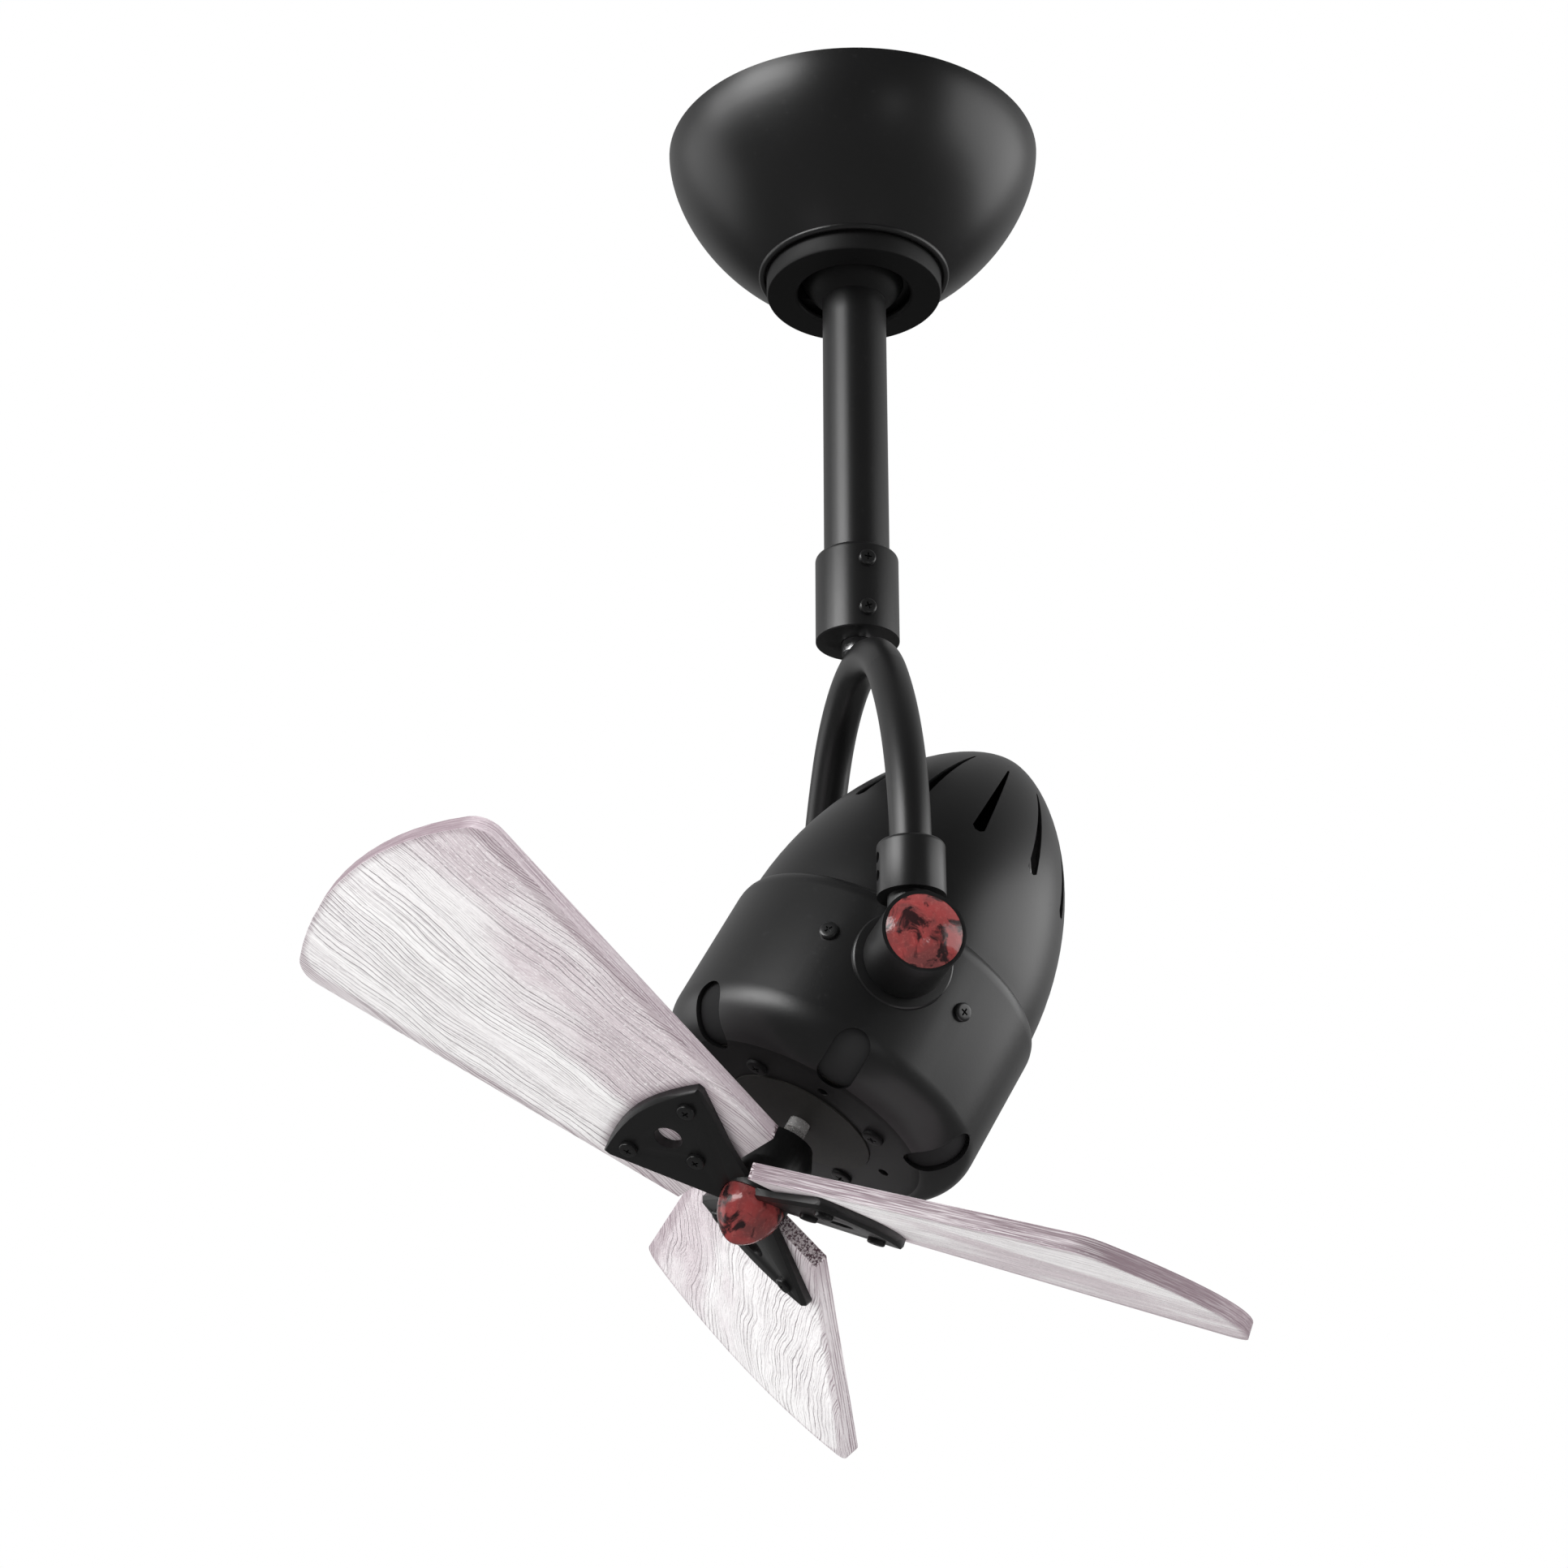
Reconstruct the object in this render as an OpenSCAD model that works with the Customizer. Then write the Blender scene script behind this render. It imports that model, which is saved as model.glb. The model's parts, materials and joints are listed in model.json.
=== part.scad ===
// Oscillating ceiling fan with one tilting head, three wooden blades and a short downrod.
// Millimetres. The origin is on the ceiling plane, on the rod's axis, and +Z points up.
// The tilt axis lies along X, and the head faces down and towards -Y.

/* [Ceiling bracket] */
// Length of the bracket's top plate
bracket_length = 112; // [100:1:130]
// Width of the bracket's top plate
bracket_width = 34; // [32:1:44]
// Thickness of the bracket's steel
bracket_thick = 2.5; // [2:0.1:3]
// Distance between the two outlet box screws
box_screw_spacing = 88.9; // [84:0.1:92]
// End to end length of each screw slot
box_slot_length = 12; // [8:0.5:14]
// Width of each screw slot
box_slot_width = 5.2; // [4.4:0.1:6]
// Diameter of the hole that the house wires come through
wire_hole_d = 27; // [20:0.5:28]
// Width of the opening that the rod slides in through
seat_slot_w = 28; // [26.4:0.2:30]
// Height of the seat ring round the ball
seat_h = 14; // [12:0.5:16]
// Wall of the seat ring at the ball's middle
seat_wall = 3.5; // [3.2:0.1:3.8]
// Width of the two legs
leg_w = 28; // [20:1:32]

/* [Canopy] */
// Diameter of the canopy's rim
canopy_d = 150.1; // [146:0.2:160]
// Depth of the canopy from the ceiling to its shelf
canopy_drop = 57; // [56.8:0.1:57.6]
// Thickness of the canopy's sheet
canopy_wall = 1.4; // [1:0.1:1.6]
// Roundness of the canopy's dome, 2 is an ellipse
canopy_round = 1.68; // [1.6:0.01:1.8]
// Thickness of the rolled bead at the canopy's neck
bead_d = 3; // [2:0.1:3.4]
// Outer diameter of the trim ring
ring_d = 70.2; // [69.4:0.1:70.4]
// Hole in the trim ring round the ball
ring_hole_d = 45.1; // [42.6:0.1:46]
// Height of the trim ring
ring_h = 8.5; // [7:0.1:9]
// Sheet thickness of the trim ring
ring_wall = 1.6; // [1.2:0.1:1.8]

/* [Hanger ball and rod] */
// Diameter of the hanger ball
ball_d = 44; // [43:0.1:44.4]
// Distance from the ceiling to the ball's middle
ball_drop = 51; // [50.6:0.1:51.4]
// Height of the ball's flat top above its middle
ball_flat = 14; // [12:0.5:15]
// Outer diameter of the downrod
rod_d = 25.4; // [24.6:0.1:25.8]
// Wall of the downrod
rod_wall = 1.5; // [1.2:0.1:1.8]
// Length of rod below the ball's middle
rod_below_ball = 149.8; // [120:1:400]
// Length of rod above the ball's middle
rod_above_ball = 18.5; // [16:0.5:22]
// Diameter of the cross pin in the ball
ball_pin_d = 6; // [5:0.1:7]

/* [Coupling collar and swivel] */
// Outer diameter of the coupling collar
collar_d = 32.2; // [31:0.05:34]
// Length of collar that grips the rod
collar_grip = 16.4; // [13:0.1:24]
// Thickness of the collar's floor
collar_floor = 2; // [1.5:0.1:3]
// Radius of the collar's top edge
collar_round = 2; // [1:0.1:2.7]
// Diameter of the hollow swivel shaft
swivel_shaft_d = 10; // [9:0.1:10.4]
// Bore of the swivel shaft for the leads
swivel_bore_d = 5.2; // [4:0.1:5.6]
// Outer diameter of the two swivel bearings
swivel_bearing_d = 22; // [21.8:0.1:22.4]
// Width of each swivel bearing
swivel_bearing_w = 6; // [5:0.1:7]
// Length of the spacer between the swivel bearings
bearing_spacer_h = 5; // [3:0.1:9]
// Diameter of the oscillation gearmotor
gearmotor_d = 17; // [15:0.1:17.4]
// Length of the oscillation gearmotor
gearmotor_l = 43; // [30:1:70]

/* [Yoke] */
// Outer diameter of the yoke's tube
tube_d = 14.9; // [14:0.1:15.4]
// Wall of the yoke's tube
tube_wall = 1.6; // [1.2:0.1:2]
// Gap between the collar and the yoke's crown
crown_gap = 4.3; // [3:0.1:12]
// Bend radius of the crown
crown_r = 56.2; // [50:1:66]
// Angle that the crown turns through on each side
crown_turn = 51.8; // [44:0.1:56]
// Straight length of tube below each shoulder bend
leg_straight = 13.6; // [10:0.1:34]
// Outer diameter of the sockets that hold the tube's ends
socket_d = 24.2; // [23:0.1:25]
// Height of each socket's top above the tilt axis
socket_top = 38.2; // [36:0.1:50]
// Height of each socket's bottom above the tilt axis
socket_bottom = 18.4; // [17.6:0.1:20]
// Diameter of the neck between each socket and its barrel
socket_neck_d = 17; // [14:0.5:19]
// Diameter of the tilt barrels
barrel_d = 29.6; // [28.6:0.1:30.4]
// Length of each tilt barrel
barrel_l = 26.4; // [25:0.1:30]
// Diameter of the cap that closes each barrel
pivot_cap_d = 26.9; // [26:0.1:27.6]
// Height of each cap's dome
pivot_cap_dome = 4.6; // [2:0.1:8]

/* [Head] */
// Tilt of the head at rest, from straight down
head_tilt = 29; // [0:0.5:60]
// Outer diameter of the front housing
housing_d = 121; // [119:0.5:123]
// Distance from the tilt axis to the front face
housing_front = 47.2; // [46:0.1:56]
// Depth of the round shoulder along the head's axis
shoulder_h = 17.2; // [14:0.1:20]
// Width of the round shoulder across the head's axis
shoulder_w = 16.3; // [14:0.1:17]
// Distance from the tilt axis back to the seam
seam_back = 19.9; // [17.6:0.1:24]
// Wall of the front housing
housing_wall = 2; // [1.6:0.1:2.4]
// Round of the housing's rear edge
rear_edge_r = 2.7; // [1:0.1:2.8]
// Number of oval slots in the shoulder
oval_slots = 6; // [4:1:8]
// Width of an oval slot
oval_slot_w = 13.3; // [8:0.1:13.6]
// Length of an oval slot
oval_slot_l = 24.2; // [20:0.1:28]
// Hole in the front face for the motor's nose
nose_hole_d = 55.8; // [52:0.1:56]
// Diameter of the tilt boss on the housing
tilt_boss_d = 36; // [32:0.5:38]
// Height of the tilt boss
tilt_boss_h = 0.5; // [0.3:0.1:1]

/* [Rear cover] */
// Length of the rear cover behind the seam
tail_l = 101.4; // [80:0.5:102]
// Shape of the tail along its length
tail_p = 1.93; // [1.6:0.01:2.4]
// Shape of the tail across its length
tail_q = 1.56; // [1.4:0.01:2.2]
// Wall of the rear cover
cover_wall = 1.6; // [1.2:0.1:2]
// Number of tapered slits round the tail
slits = 12; // [8:1:14]
// Width of a slit at its wide end
slit_wide = 5; // [3:0.1:6]
// Width of a slit at its narrow end
slit_narrow = 0.8; // [0.6:0.1:2]
// Distance from the tilt axis to a slit's wide end
slit_from = 64; // [56:0.5:68]
// Distance from the tilt axis to a slit's narrow end
slit_to = 104; // [90:0.5:106]

/* [Motor] */
// Outer diameter of the stator
stator_d = 84; // [80:0.5:85]
// Bore of the stator
stator_bore = 48; // [44:0.5:50]
// Length of the stator's stack
stack_l = 24; // [18:0.5:26]
// Number of slots in the stator
stator_slots = 18; // [12:3:24]
// Air gap between the stator and the rotor
air_gap = 0.4; // [0.3:0.05:0.6]
// Diameter of the motor's shaft
shaft_d = 8; // [7:0.1:8.4]
// Outer diameter of the motor's bearings
motor_bearing_d = 22; // [21:0.1:24]
// Width of each motor bearing
motor_bearing_w = 7; // [6:0.1:7.6]
// Diameter of the capacitor
capacitor_w = 18; // [14:0.5:20]

/* [Blades] */
// Radius from the shaft to a blade's tip
sweep_r = 185.5; // [166:0.5:210]
// Distance from the shaft to a blade's root
root_r = 15.2; // [13:0.1:20]
// Width of a blade at its root
root_w = 56.3; // [50:0.1:60]
// Width of a blade near its tip
tip_w = 116.5; // [90:0.5:130]
// Bulge of a blade's curved tip
tip_bulge = 15.6; // [8:0.1:24]
// Radius of a blade's tip corners
tip_corner_r = 10; // [4:0.5:16]
// Thickness of a blade
blade_thick = 6; // [5:0.1:8]
// Pitch of the blades
blade_pitch = 19; // [12:0.1:22]
// Distance from the tilt axis to the blades' middle
blade_front = 74.8; // [73:0.1:82]
// Angle of the first blade about the shaft
blade_start = 48.6; // [0:0.1:119]
// Thickness of the blade arms' plates
arm_thick = 4; // [3:0.1:4.5]
// Radius from the shaft to a plate's outer edge
arm_r = 54.8; // [50:0.5:62]
// Width of a plate at its widest
arm_w = 56; // [54:0.5:62]
// Width of an arm at the hub
arm_neck_w = 17; // [14:0.5:20]
// Diameter of the hub
hub_d = 25; // [23:0.1:25.6]
// Length of the dome over the hub
hub_cap_l = 17.5; // [12:0.5:24]

/* [Hidden] */

$fn = 96;
eps = 0.01;
// Gap between pieces that slide or turn past each other
run_gap = 0.06;
// Gap between fixed pieces that slip together
slip_gap = 0.05;
// Gap between faces of different moving bodies
face_gap = 0.2;

rod_r = rod_d / 2;
rod_bore_r = rod_r - rod_wall;
ball_z = -ball_drop;
ball_r = ball_d / 2;
rod_top_z = ball_z + rod_above_ball;
rod_end_z = ball_z - rod_below_ball;

// Canopy and trim ring
canopy_r = canopy_d / 2;
canopy_apex = 70.3;
canopy_neck_r = 1.5;
canopy_steps = 24;
shelf_hole_r = ball_r + seat_wall + 0.4;
lug_screw_x = ring_d / 2 - ring_wall - 4;
lug_screw_r = 1.7;
lug_head_r = 3.2;
lug_head_h = 1.8;
lug_h = 2.5;
lug_z = -canopy_drop + canopy_wall;
ring_r = ring_d / 2;
bead_z = -canopy_drop + bead_d / 2 - 1;
ring_z = -canopy_drop - 0.05;

// Swivel stack from the rod's end down
collar_r = collar_d / 2;
collar_top_z = rod_end_z + collar_grip;
swivel_top_z = rod_end_z - 0.1;
clip_h = 0.8;
stack_top_z = swivel_top_z - clip_h - 0.1;
upper_bearing_z = stack_top_z - swivel_bearing_w;
spacer_z = upper_bearing_z - bearing_spacer_h;
lower_bearing_z = spacer_z - swivel_bearing_w;
collar_floor_z = lower_bearing_z;
collar_end_z = collar_floor_z - collar_floor;
collar_screw_r = 2;
collar_screw_head_r = 3.3;
collar_screw_head_h = 1.9;
collar_screw_z = [collar_top_z - 8, (upper_bearing_z + spacer_z) / 2 - 3];
swivel_r = swivel_shaft_d / 2;
swivel_pitch_r = (swivel_r + swivel_bearing_d / 2) / 2;
swivel_ball_r = 1.6;
swivel_top_end_z = rod_end_z + 13.2;
window_h = 6.2;
window_z = rod_end_z + 2.4;
output_r = swivel_bore_d / 2 - slip_gap;
gearmotor_z = swivel_top_end_z + 1.8;
gearmotor_r = gearmotor_d / 2;

// Yoke arch, sockets and tilt axis
tube_r = tube_d / 2;
tube_bore_r = tube_r - tube_wall;
tube_lap = 0.3;
hair = 0.01;
crown_z = collar_end_z - crown_gap - tube_r;
housing_r = housing_d / 2;
boss_face_x = housing_r + tilt_boss_h;
friction_washer_h = 1.5;
barrel_x = boss_face_x + friction_washer_h + face_gap;
barrel_end_x = barrel_x + barrel_l;
arm_x = boss_face_x + face_gap + socket_d / 2;
shoulder_r = (arm_x - crown_r * sin(crown_turn)) / (1 - sin(crown_turn));
arch_drop = crown_r * (1 - cos(crown_turn)) + shoulder_r * cos(crown_turn);
arch_end_z = crown_z - arch_drop;
tube_end_z = arch_end_z - leg_straight;
barrel_bore_r = barrel_d / 2 - 2.5;
socket_floor = 2;
tube_end_above_pivot = socket_bottom + socket_floor;
socket_round = 1.6;
pivot_z = tube_end_z - tube_end_above_pivot;
web_x = barrel_x + 8;
pivot_bolt_r = 4;
friction_washer_r = barrel_d / 2 - 1;
pivot_bolt_bore_r = 2;
pivot_washer_r = 8;
pivot_washer_h = 1.5;
pivot_spring_h = 2;
pivot_head_x = web_x + 0.05 + pivot_washer_h + pivot_spring_h;
pivot_head_h = 5;
pivot_head_across = 13;
cap_seat = 2;
lead_r = 1.1;
lead_notch_w = 2 * lead_r + 1;
lead_notch_h = 4.6;
lead_hole_r = 2.6;

// Head, in its own frame: the tail points to +Z and the blades to -Z
front_z = -housing_front;
shoulder_z = front_z + shoulder_h;
front_edge_r = housing_r - shoulder_w;
seam_z = seam_back;
seam_r = housing_r - rear_edge_r;
thick_zone_z = -18.5;
housing_bore_r = housing_r - 3.8;
sleeve_r = housing_bore_r - 0.2;
sleeve_bore_r = sleeve_r - cover_wall;
sleeve_end_z = thick_zone_z + 1.5;
plate_out_r = sleeve_bore_r - 0.1;
plate_in_r = plate_out_r - 3.8;
plate_half_w = 30;
plate_half_h = 15;
plate_boss_r = 9;
plate_boss_x = stator_d / 2 + 3.6;
side_screw_z = -2.5;
side_screw_turn = 26.5;
side_screw_r = 1.7;
side_screw_head_r = 3.4;
side_screw_head_h = 1.6;
front_screw_r = 1.7;
front_screw_head_r = 4;
front_screw_pitch_r = nose_hole_d / 2 + front_screw_head_r + 1.7;
front_screw_head_h = 1.5;
front_screw_turns = [45, 135, 225, 315];
slot_tilt = atan2(shoulder_w, shoulder_h);
slot_turn = 0.15;
drain_hole_r = 2;
drain_hole_turns = [0, 90, 180, 270];

// Motor, in the head's frame
bell_r = stator_d / 2;
bell_wall = 2.4;
bell_face_z = front_z + housing_wall;
bell_plate = 3;
nose_r = nose_hole_d / 2 - 0.2;
nose_z = front_z - 0.5;
stack_z = -26;
stack_top = stack_z + stack_l;
motor_bearing_r = motor_bearing_d / 2;
front_bearing_z = nose_z + 1.5;
rear_plate_z = stack_top + 15;
rear_plate = 2.5;
rear_bearing_z = rear_plate_z - 2;
rear_boss_z = rear_bearing_z + motor_bearing_w + 1.5;
bearing_boss_r = motor_bearing_r + 2.8;
motor_pitch_r = (shaft_d / 2 + motor_bearing_r) / 2;
motor_ball_r = 2;
through_bolt_pitch_r = bell_r - 4.1;
through_bolt_r = 1.5;
through_bolt_turns = [30, 150, 270];
slot_in_r = stator_bore / 2 + 1;
slot_out_r = bell_r - 7;
slot_half_in = 1.8;
slot_half_out = 3.7;
slot_mouth = 2.2;
insulation = 0.3;
rotor_r = stator_bore / 2 - air_gap;
capacitor_l = 36;
capacitor_h = 29;
capacitor_y = bearing_boss_r + 1;

// Blades and hub, in the head's frame
blade_count = 3;
shaft_r = shaft_d / 2;
blade_z = -blade_front;
hub_r = hub_d / 2;
hub_top_z = front_z - 8.6;
hub_cone_h = 6.5;
arm_front_z = blade_z - blade_thick / 2 - arm_thick;
arm_disc_z = arm_front_z + 6.4;
hub_cap_r = hub_r - 0.8;
cap_recess_r = hub_cap_r + 0.3;
hub_nut_h = 5;
hub_nut_across = 13;
shaft_end_z = arm_front_z - hub_nut_h - 0.6;
shaft_top_z = rear_boss_z - 2;
blade_shift = -2.4;
arm_shift = -3.7;
arm_screw_shift = -4;
arm_screw_out = arm_r - 10.8;
arm_screw_half = 17.4;
arm_screw_in = 25.8;
arm_screw_r = 1.9;
arm_screw_head_r = 3.3;
arm_screw_head_h = 1.8;
arm_hole_x = 39;
arm_hole_r = 5.2;
arm_bevel = 1.3;

// A ring between two heights
module ring(outer_r, inner_r, z0, z1) {
    difference() {
        translate([0, 0, z0])
            cylinder(h = z1 - z0, r = outer_r);
        translate([0, 0, z0 - 1])
            cylinder(h = z1 - z0 + 2, r = inner_r);
    }
}

// A pan head screw with the head above z = 0 and the shank below
module pan_screw(head_r, head_h, shank_r, shank_l) {
    rim = head_h * 0.45;
    translate([0, 0, -shank_l])
        cylinder(h = shank_l + eps, r = shank_r);
    cylinder(h = rim, r = head_r);
    translate([0, 0, rim])
        cylinder(h = head_h - rim, r1 = head_r, r2 = head_r * 0.62);
}

// Turns a child's +Z to +X
module along_x() {
    rotate([0, 90, 0])
        children();
}

// Draws a child on the right side and its mirror image on the left
module both_sides() {
    children();
    mirror([1, 0, 0])
        children();
}

// Moves a child from the head's frame to the fan's
module in_head() {
    translate([0, 0, pivot_z])
        rotate([-head_tilt, 0, 0])
            children();
}

// Moves a child to one blade's frame: +X along the blade, +Z through it to the tail
module in_blade(i) {
    in_head()
        rotate([0, 0, blade_start + i * 360 / blade_count])
            translate([0, 0, blade_z])
                rotate([blade_pitch, 0, 0])
                    children();
}

// Quarter ellipse from (x + a, z) to (x, z - b)
function quarter(x, z, a, b, steps) = [
    for (i = [0:steps]) [x + a * cos(90 * i / steps), z - b * sin(90 * i / steps)]
];

// Fraction of the rim's radius at the fraction k of the depth
function dome(k, p, q) = pow(max(0, 1 - pow(k, p)), 1 / q);

function canopy_at(z) =
    canopy_neck_r + (canopy_r - canopy_neck_r) * dome(-z / canopy_apex, canopy_round, canopy_round);

function tail_outline(r, l, steps) = [
    for (i = [0:steps])
        let (k = sin(90 * i / steps))
            [r * dome(k, tail_p, tail_q), seam_z + l * k]
];

// Points of a swept tube: one ring of sides round each route point
function unit(v) = v / norm(v);
function heading(route, i) =
    unit(route[min(i + 1, len(route) - 1)] - route[max(i - 1, 0)]);
function ring_points(route, i, r, sides, side_axis) =
    let (
        ahead = heading(route, i),
        across = unit(cross(ahead, side_axis)),
        other = cross(ahead, across)
    )
    [for (j = [0:sides - 1])
        route[i] + r * (cos(360 * j / sides) * across + sin(360 * j / sides) * other)];

module swept_tube(route, r, sides, side_axis) {
    rings = len(route);
    points = [for (i = [0:rings - 1]) each ring_points(route, i, r, sides, side_axis)];
    walls = [
        for (i = [0:rings - 2])
            for (j = [0:sides - 1])
                [i * sides + j, i * sides + (j + 1) % sides,
                 (i + 1) * sides + (j + 1) % sides, (i + 1) * sides + j]
    ];
    start = [for (j = [sides - 1:-1:0]) j];
    finish = [for (j = [0:sides - 1]) (rings - 1) * sides + j];
    polyhedron(points, concat([start], walls, [finish]));
}

// Ceiling bracket: a slotted top plate, two legs and an open seat for the ball
module ceiling_bracket() {
    leg_x = ball_r + 0.6;
    lug_out = lug_screw_x + 4;
    seat_top_z = ball_z + seat_h * 0.32;
    color("silver")
        difference() {
            union() {
                translate([-bracket_length / 2, -bracket_width / 2, -bracket_thick])
                    cube([bracket_length, bracket_width, bracket_thick]);
                both_sides()
                    translate([leg_x, -leg_w / 2, seat_top_z - 2])
                        cube([bracket_thick + 0.4, leg_w, -seat_top_z + 2 - bracket_thick / 2]);
                translate([0, 0, seat_top_z - seat_h])
                    cylinder(h = seat_h, r = ball_r + seat_wall);
                both_sides()
                    translate([ball_r, -7, lug_z])
                        cube([lug_out - ball_r, 14, lug_h]);
            }
            translate([0, 0, ball_z])
                sphere(r = ball_r + run_gap);
            translate([0, 0, ball_z])
                cylinder(h = seat_h, r = ball_r + run_gap);
            translate([-seat_slot_w / 2, -ball_r - seat_wall - 1, seat_top_z - seat_h - 1])
                cube([seat_slot_w, ball_r + seat_wall + 1, seat_h + 2]);
            translate([0, 0, -bracket_thick - 1])
                cylinder(h = bracket_thick + 2, r = wire_hole_d / 2);
            both_sides()
                translate([box_screw_spacing / 2, 0, -bracket_thick - 1])
                    linear_extrude(bracket_thick + 2)
                        stadium(box_slot_length, box_slot_width);
            both_sides()
                translate([lug_screw_x, 0, lug_z - 1])
                    cylinder(h = lug_h + 2, r = lug_screw_r);
        }
    color("silver")
        translate([-ball_r - seat_wall / 2, 0, ball_z])
            along_x()
                cylinder(h = 3 + seat_wall / 2, r = 2.2);
}

// A slot with round ends, along X
module stadium(length, width) {
    half = (length - width) / 2;
    translate([-half, -width / 2])
        square([2 * half, width]);
    translate([-half, 0])
        circle(d = width);
    translate([half, 0])
        circle(d = width);
}

// Canopy: a spun dome with an inward shelf and a rolled bead at its neck
module canopy() {
    outer = [for (i = [0:canopy_steps])
        let (z = -canopy_drop * i / canopy_steps) [canopy_at(z), z]];
    inner = [for (i = [canopy_steps:-1:0])
        let (z = -(canopy_drop - canopy_wall) * i / canopy_steps) [canopy_at(z) - canopy_wall, z]];
    neck_r = canopy_at(-canopy_drop);
    color([0.1, 0.1, 0.11])
        difference() {
            union() {
                rotate_extrude()
                    polygon(concat(outer, [
                        [shelf_hole_r, -canopy_drop],
                        [shelf_hole_r, -canopy_drop + canopy_wall]
                    ], inner));
                translate([0, 0, bead_z])
                    rotate_extrude()
                        translate([neck_r - 0.4, 0])
                            circle(d = bead_d);
            }
            both_sides()
                translate([lug_screw_x, 0, -canopy_drop - 1])
                    cylinder(h = canopy_wall + 2, r = lug_screw_r + 0.1);
        }
}

module canopy_screws() {
    color([0.15, 0.15, 0.16])
        both_sides()
            translate([lug_screw_x, 0, -canopy_drop])
                rotate([180, 0, 0])
                    pan_screw(lug_head_r, lug_head_h, lug_screw_r, canopy_wall + lug_h);
}

// Trim ring: a shallow channel that hides the canopy's screws
module canopy_ring() {
    low = ring_z - ring_h;
    hole_r = ring_hole_d / 2;
    color([0.08, 0.08, 0.09])
        rotate_extrude()
            polygon([
                [ring_r, ring_z], [ring_r, low + 1.1], [ring_r - 0.5, low], [hole_r + 0.9, low],
                [hole_r, low + 0.9], [hole_r, low + 2.4], [hole_r + 1.4, low + 2.4],
                [hole_r + 1.4, low + ring_wall], [ring_r - ring_wall, low + ring_wall],
                [ring_r - ring_wall, ring_z]
            ]);
}

// Hanger ball: bored for the rod, drilled for its pin, and grooved for the seat's key
module hanger_ball() {
    color([0.12, 0.12, 0.13])
        difference() {
            translate([0, 0, ball_z])
                sphere(r = ball_r);
            translate([0, 0, ball_z + ball_flat])
                cylinder(h = ball_r, r = ball_r);
            translate([0, 0, ball_z - ball_r - 1])
                cylinder(h = 2 * ball_r + 2, r = rod_r + slip_gap);
            translate([-ball_r - 1, 0, ball_z + ball_flat / 2])
                along_x()
                    cylinder(h = 2 * ball_r + 2, r = ball_pin_d / 2);
            translate([0, rod_r, ball_z + ball_flat - 4])
                rotate([-90, 0, 0])
                    cylinder(h = ball_r, r = 2.5);
            key_groove();
        }
}

// Groove for the seat's key, round the ball's middle, so the ball can swing on the key
module key_groove() {
    translate([0, -2.4, ball_z])
        rotate([-90, 0, 0])
            difference() {
                translate([-ball_r - 1, -ball_r, 0])
                    cube([ball_r + 1, 2 * ball_r, 4.8]);
                translate([0, 0, -1])
                    cylinder(h = 7, r = ball_r - 3.4);
            }
}

module ball_pin() {
    half = sqrt(ball_r * ball_r - ball_flat * ball_flat / 4) - 3.6;
    color("silver")
        translate([-half, 0, ball_z + ball_flat / 2])
            along_x()
                cylinder(h = 2 * half, r = ball_pin_d / 2);
}

module ball_set_screw() {
    color([0.3, 0.3, 0.32])
        translate([0, rod_r + slip_gap, ball_z + ball_flat - 4])
            rotate([-90, 0, 0])
                difference() {
                    cylinder(h = 6.4, r = 2.5);
                    translate([0, 0, 4])
                        cylinder(h = 4, r = 1.4, $fn = 6);
                }
}

module downrod() {
    color([0.1, 0.1, 0.11])
        difference() {
            ring(rod_r, rod_bore_r, rod_end_z, rod_top_z);
            translate([-rod_r - 1, 0, ball_z + ball_flat / 2])
                along_x()
                    cylinder(h = 2 * rod_r + 2, r = ball_pin_d / 2);
            translate([0, 0, collar_screw_z[0]])
                along_x()
                    cylinder(h = rod_r + 1, r = collar_screw_r);
        }
}

// Coupling collar: grips the rod above and holds the swivel below
module coupling_collar() {
    edge = collar_round;
    bore_r = rod_r + slip_gap;
    hole_r = swivel_r + 1.3;
    arc = [for (i = [0:6]) [
        collar_r - edge + edge * cos(15 * i), collar_top_z - edge + edge * sin(15 * i)]];
    color([0.09, 0.09, 0.1])
        difference() {
            rotate_extrude()
                polygon(concat([
                    [hole_r, collar_end_z], [collar_r - 0.4, collar_end_z],
                    [collar_r, collar_end_z + 0.4]
                ], arc, [
                    [bore_r, collar_top_z], [bore_r, collar_floor_z], [hole_r, collar_floor_z]
                ]));
            for (z = collar_screw_z)
                translate([0, 0, z])
                    along_x()
                        cylinder(h = collar_r + 1, r = collar_screw_r);
        }
}

module collar_screws() {
    reach = [rod_bore_r - 0.4, swivel_bearing_d / 2 + 0.1];
    color([0.2, 0.2, 0.21])
        for (i = [0, 1])
            translate([collar_r, 0, collar_screw_z[i]])
                along_x()
                    pan_screw(collar_screw_head_r, collar_screw_head_h, collar_screw_r,
                        collar_r - reach[i]);
}

// Tubular gearmotor: a geared front section and a slimmer motor section
module oscillation_motor() {
    gear_l = gearmotor_l * 0.42;
    color([0.55, 0.55, 0.57])
        difference() {
            union() {
                translate([0, 0, gearmotor_z])
                    cylinder(h = gear_l, r = gearmotor_r);
                translate([0, 0, gearmotor_z + gear_l])
                    cylinder(h = gearmotor_l - gear_l, r = gearmotor_r - 0.6);
            }
            translate([0, 0, gearmotor_z - 1])
                cylinder(h = 9, r = output_r + run_gap);
        }
}

// Ring that centres the gearmotor in the rod, notched for the lead
module gearmotor_mount() {
    color([0.6, 0.6, 0.6])
        difference() {
            ring(rod_bore_r, gearmotor_r, gearmotor_z, gearmotor_z + 5);
            translate([-lead_r - 0.2, gearmotor_r - 0.5, gearmotor_z - 1])
                cube([2 * lead_r + 0.4, rod_bore_r, 7]);
        }
}

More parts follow.
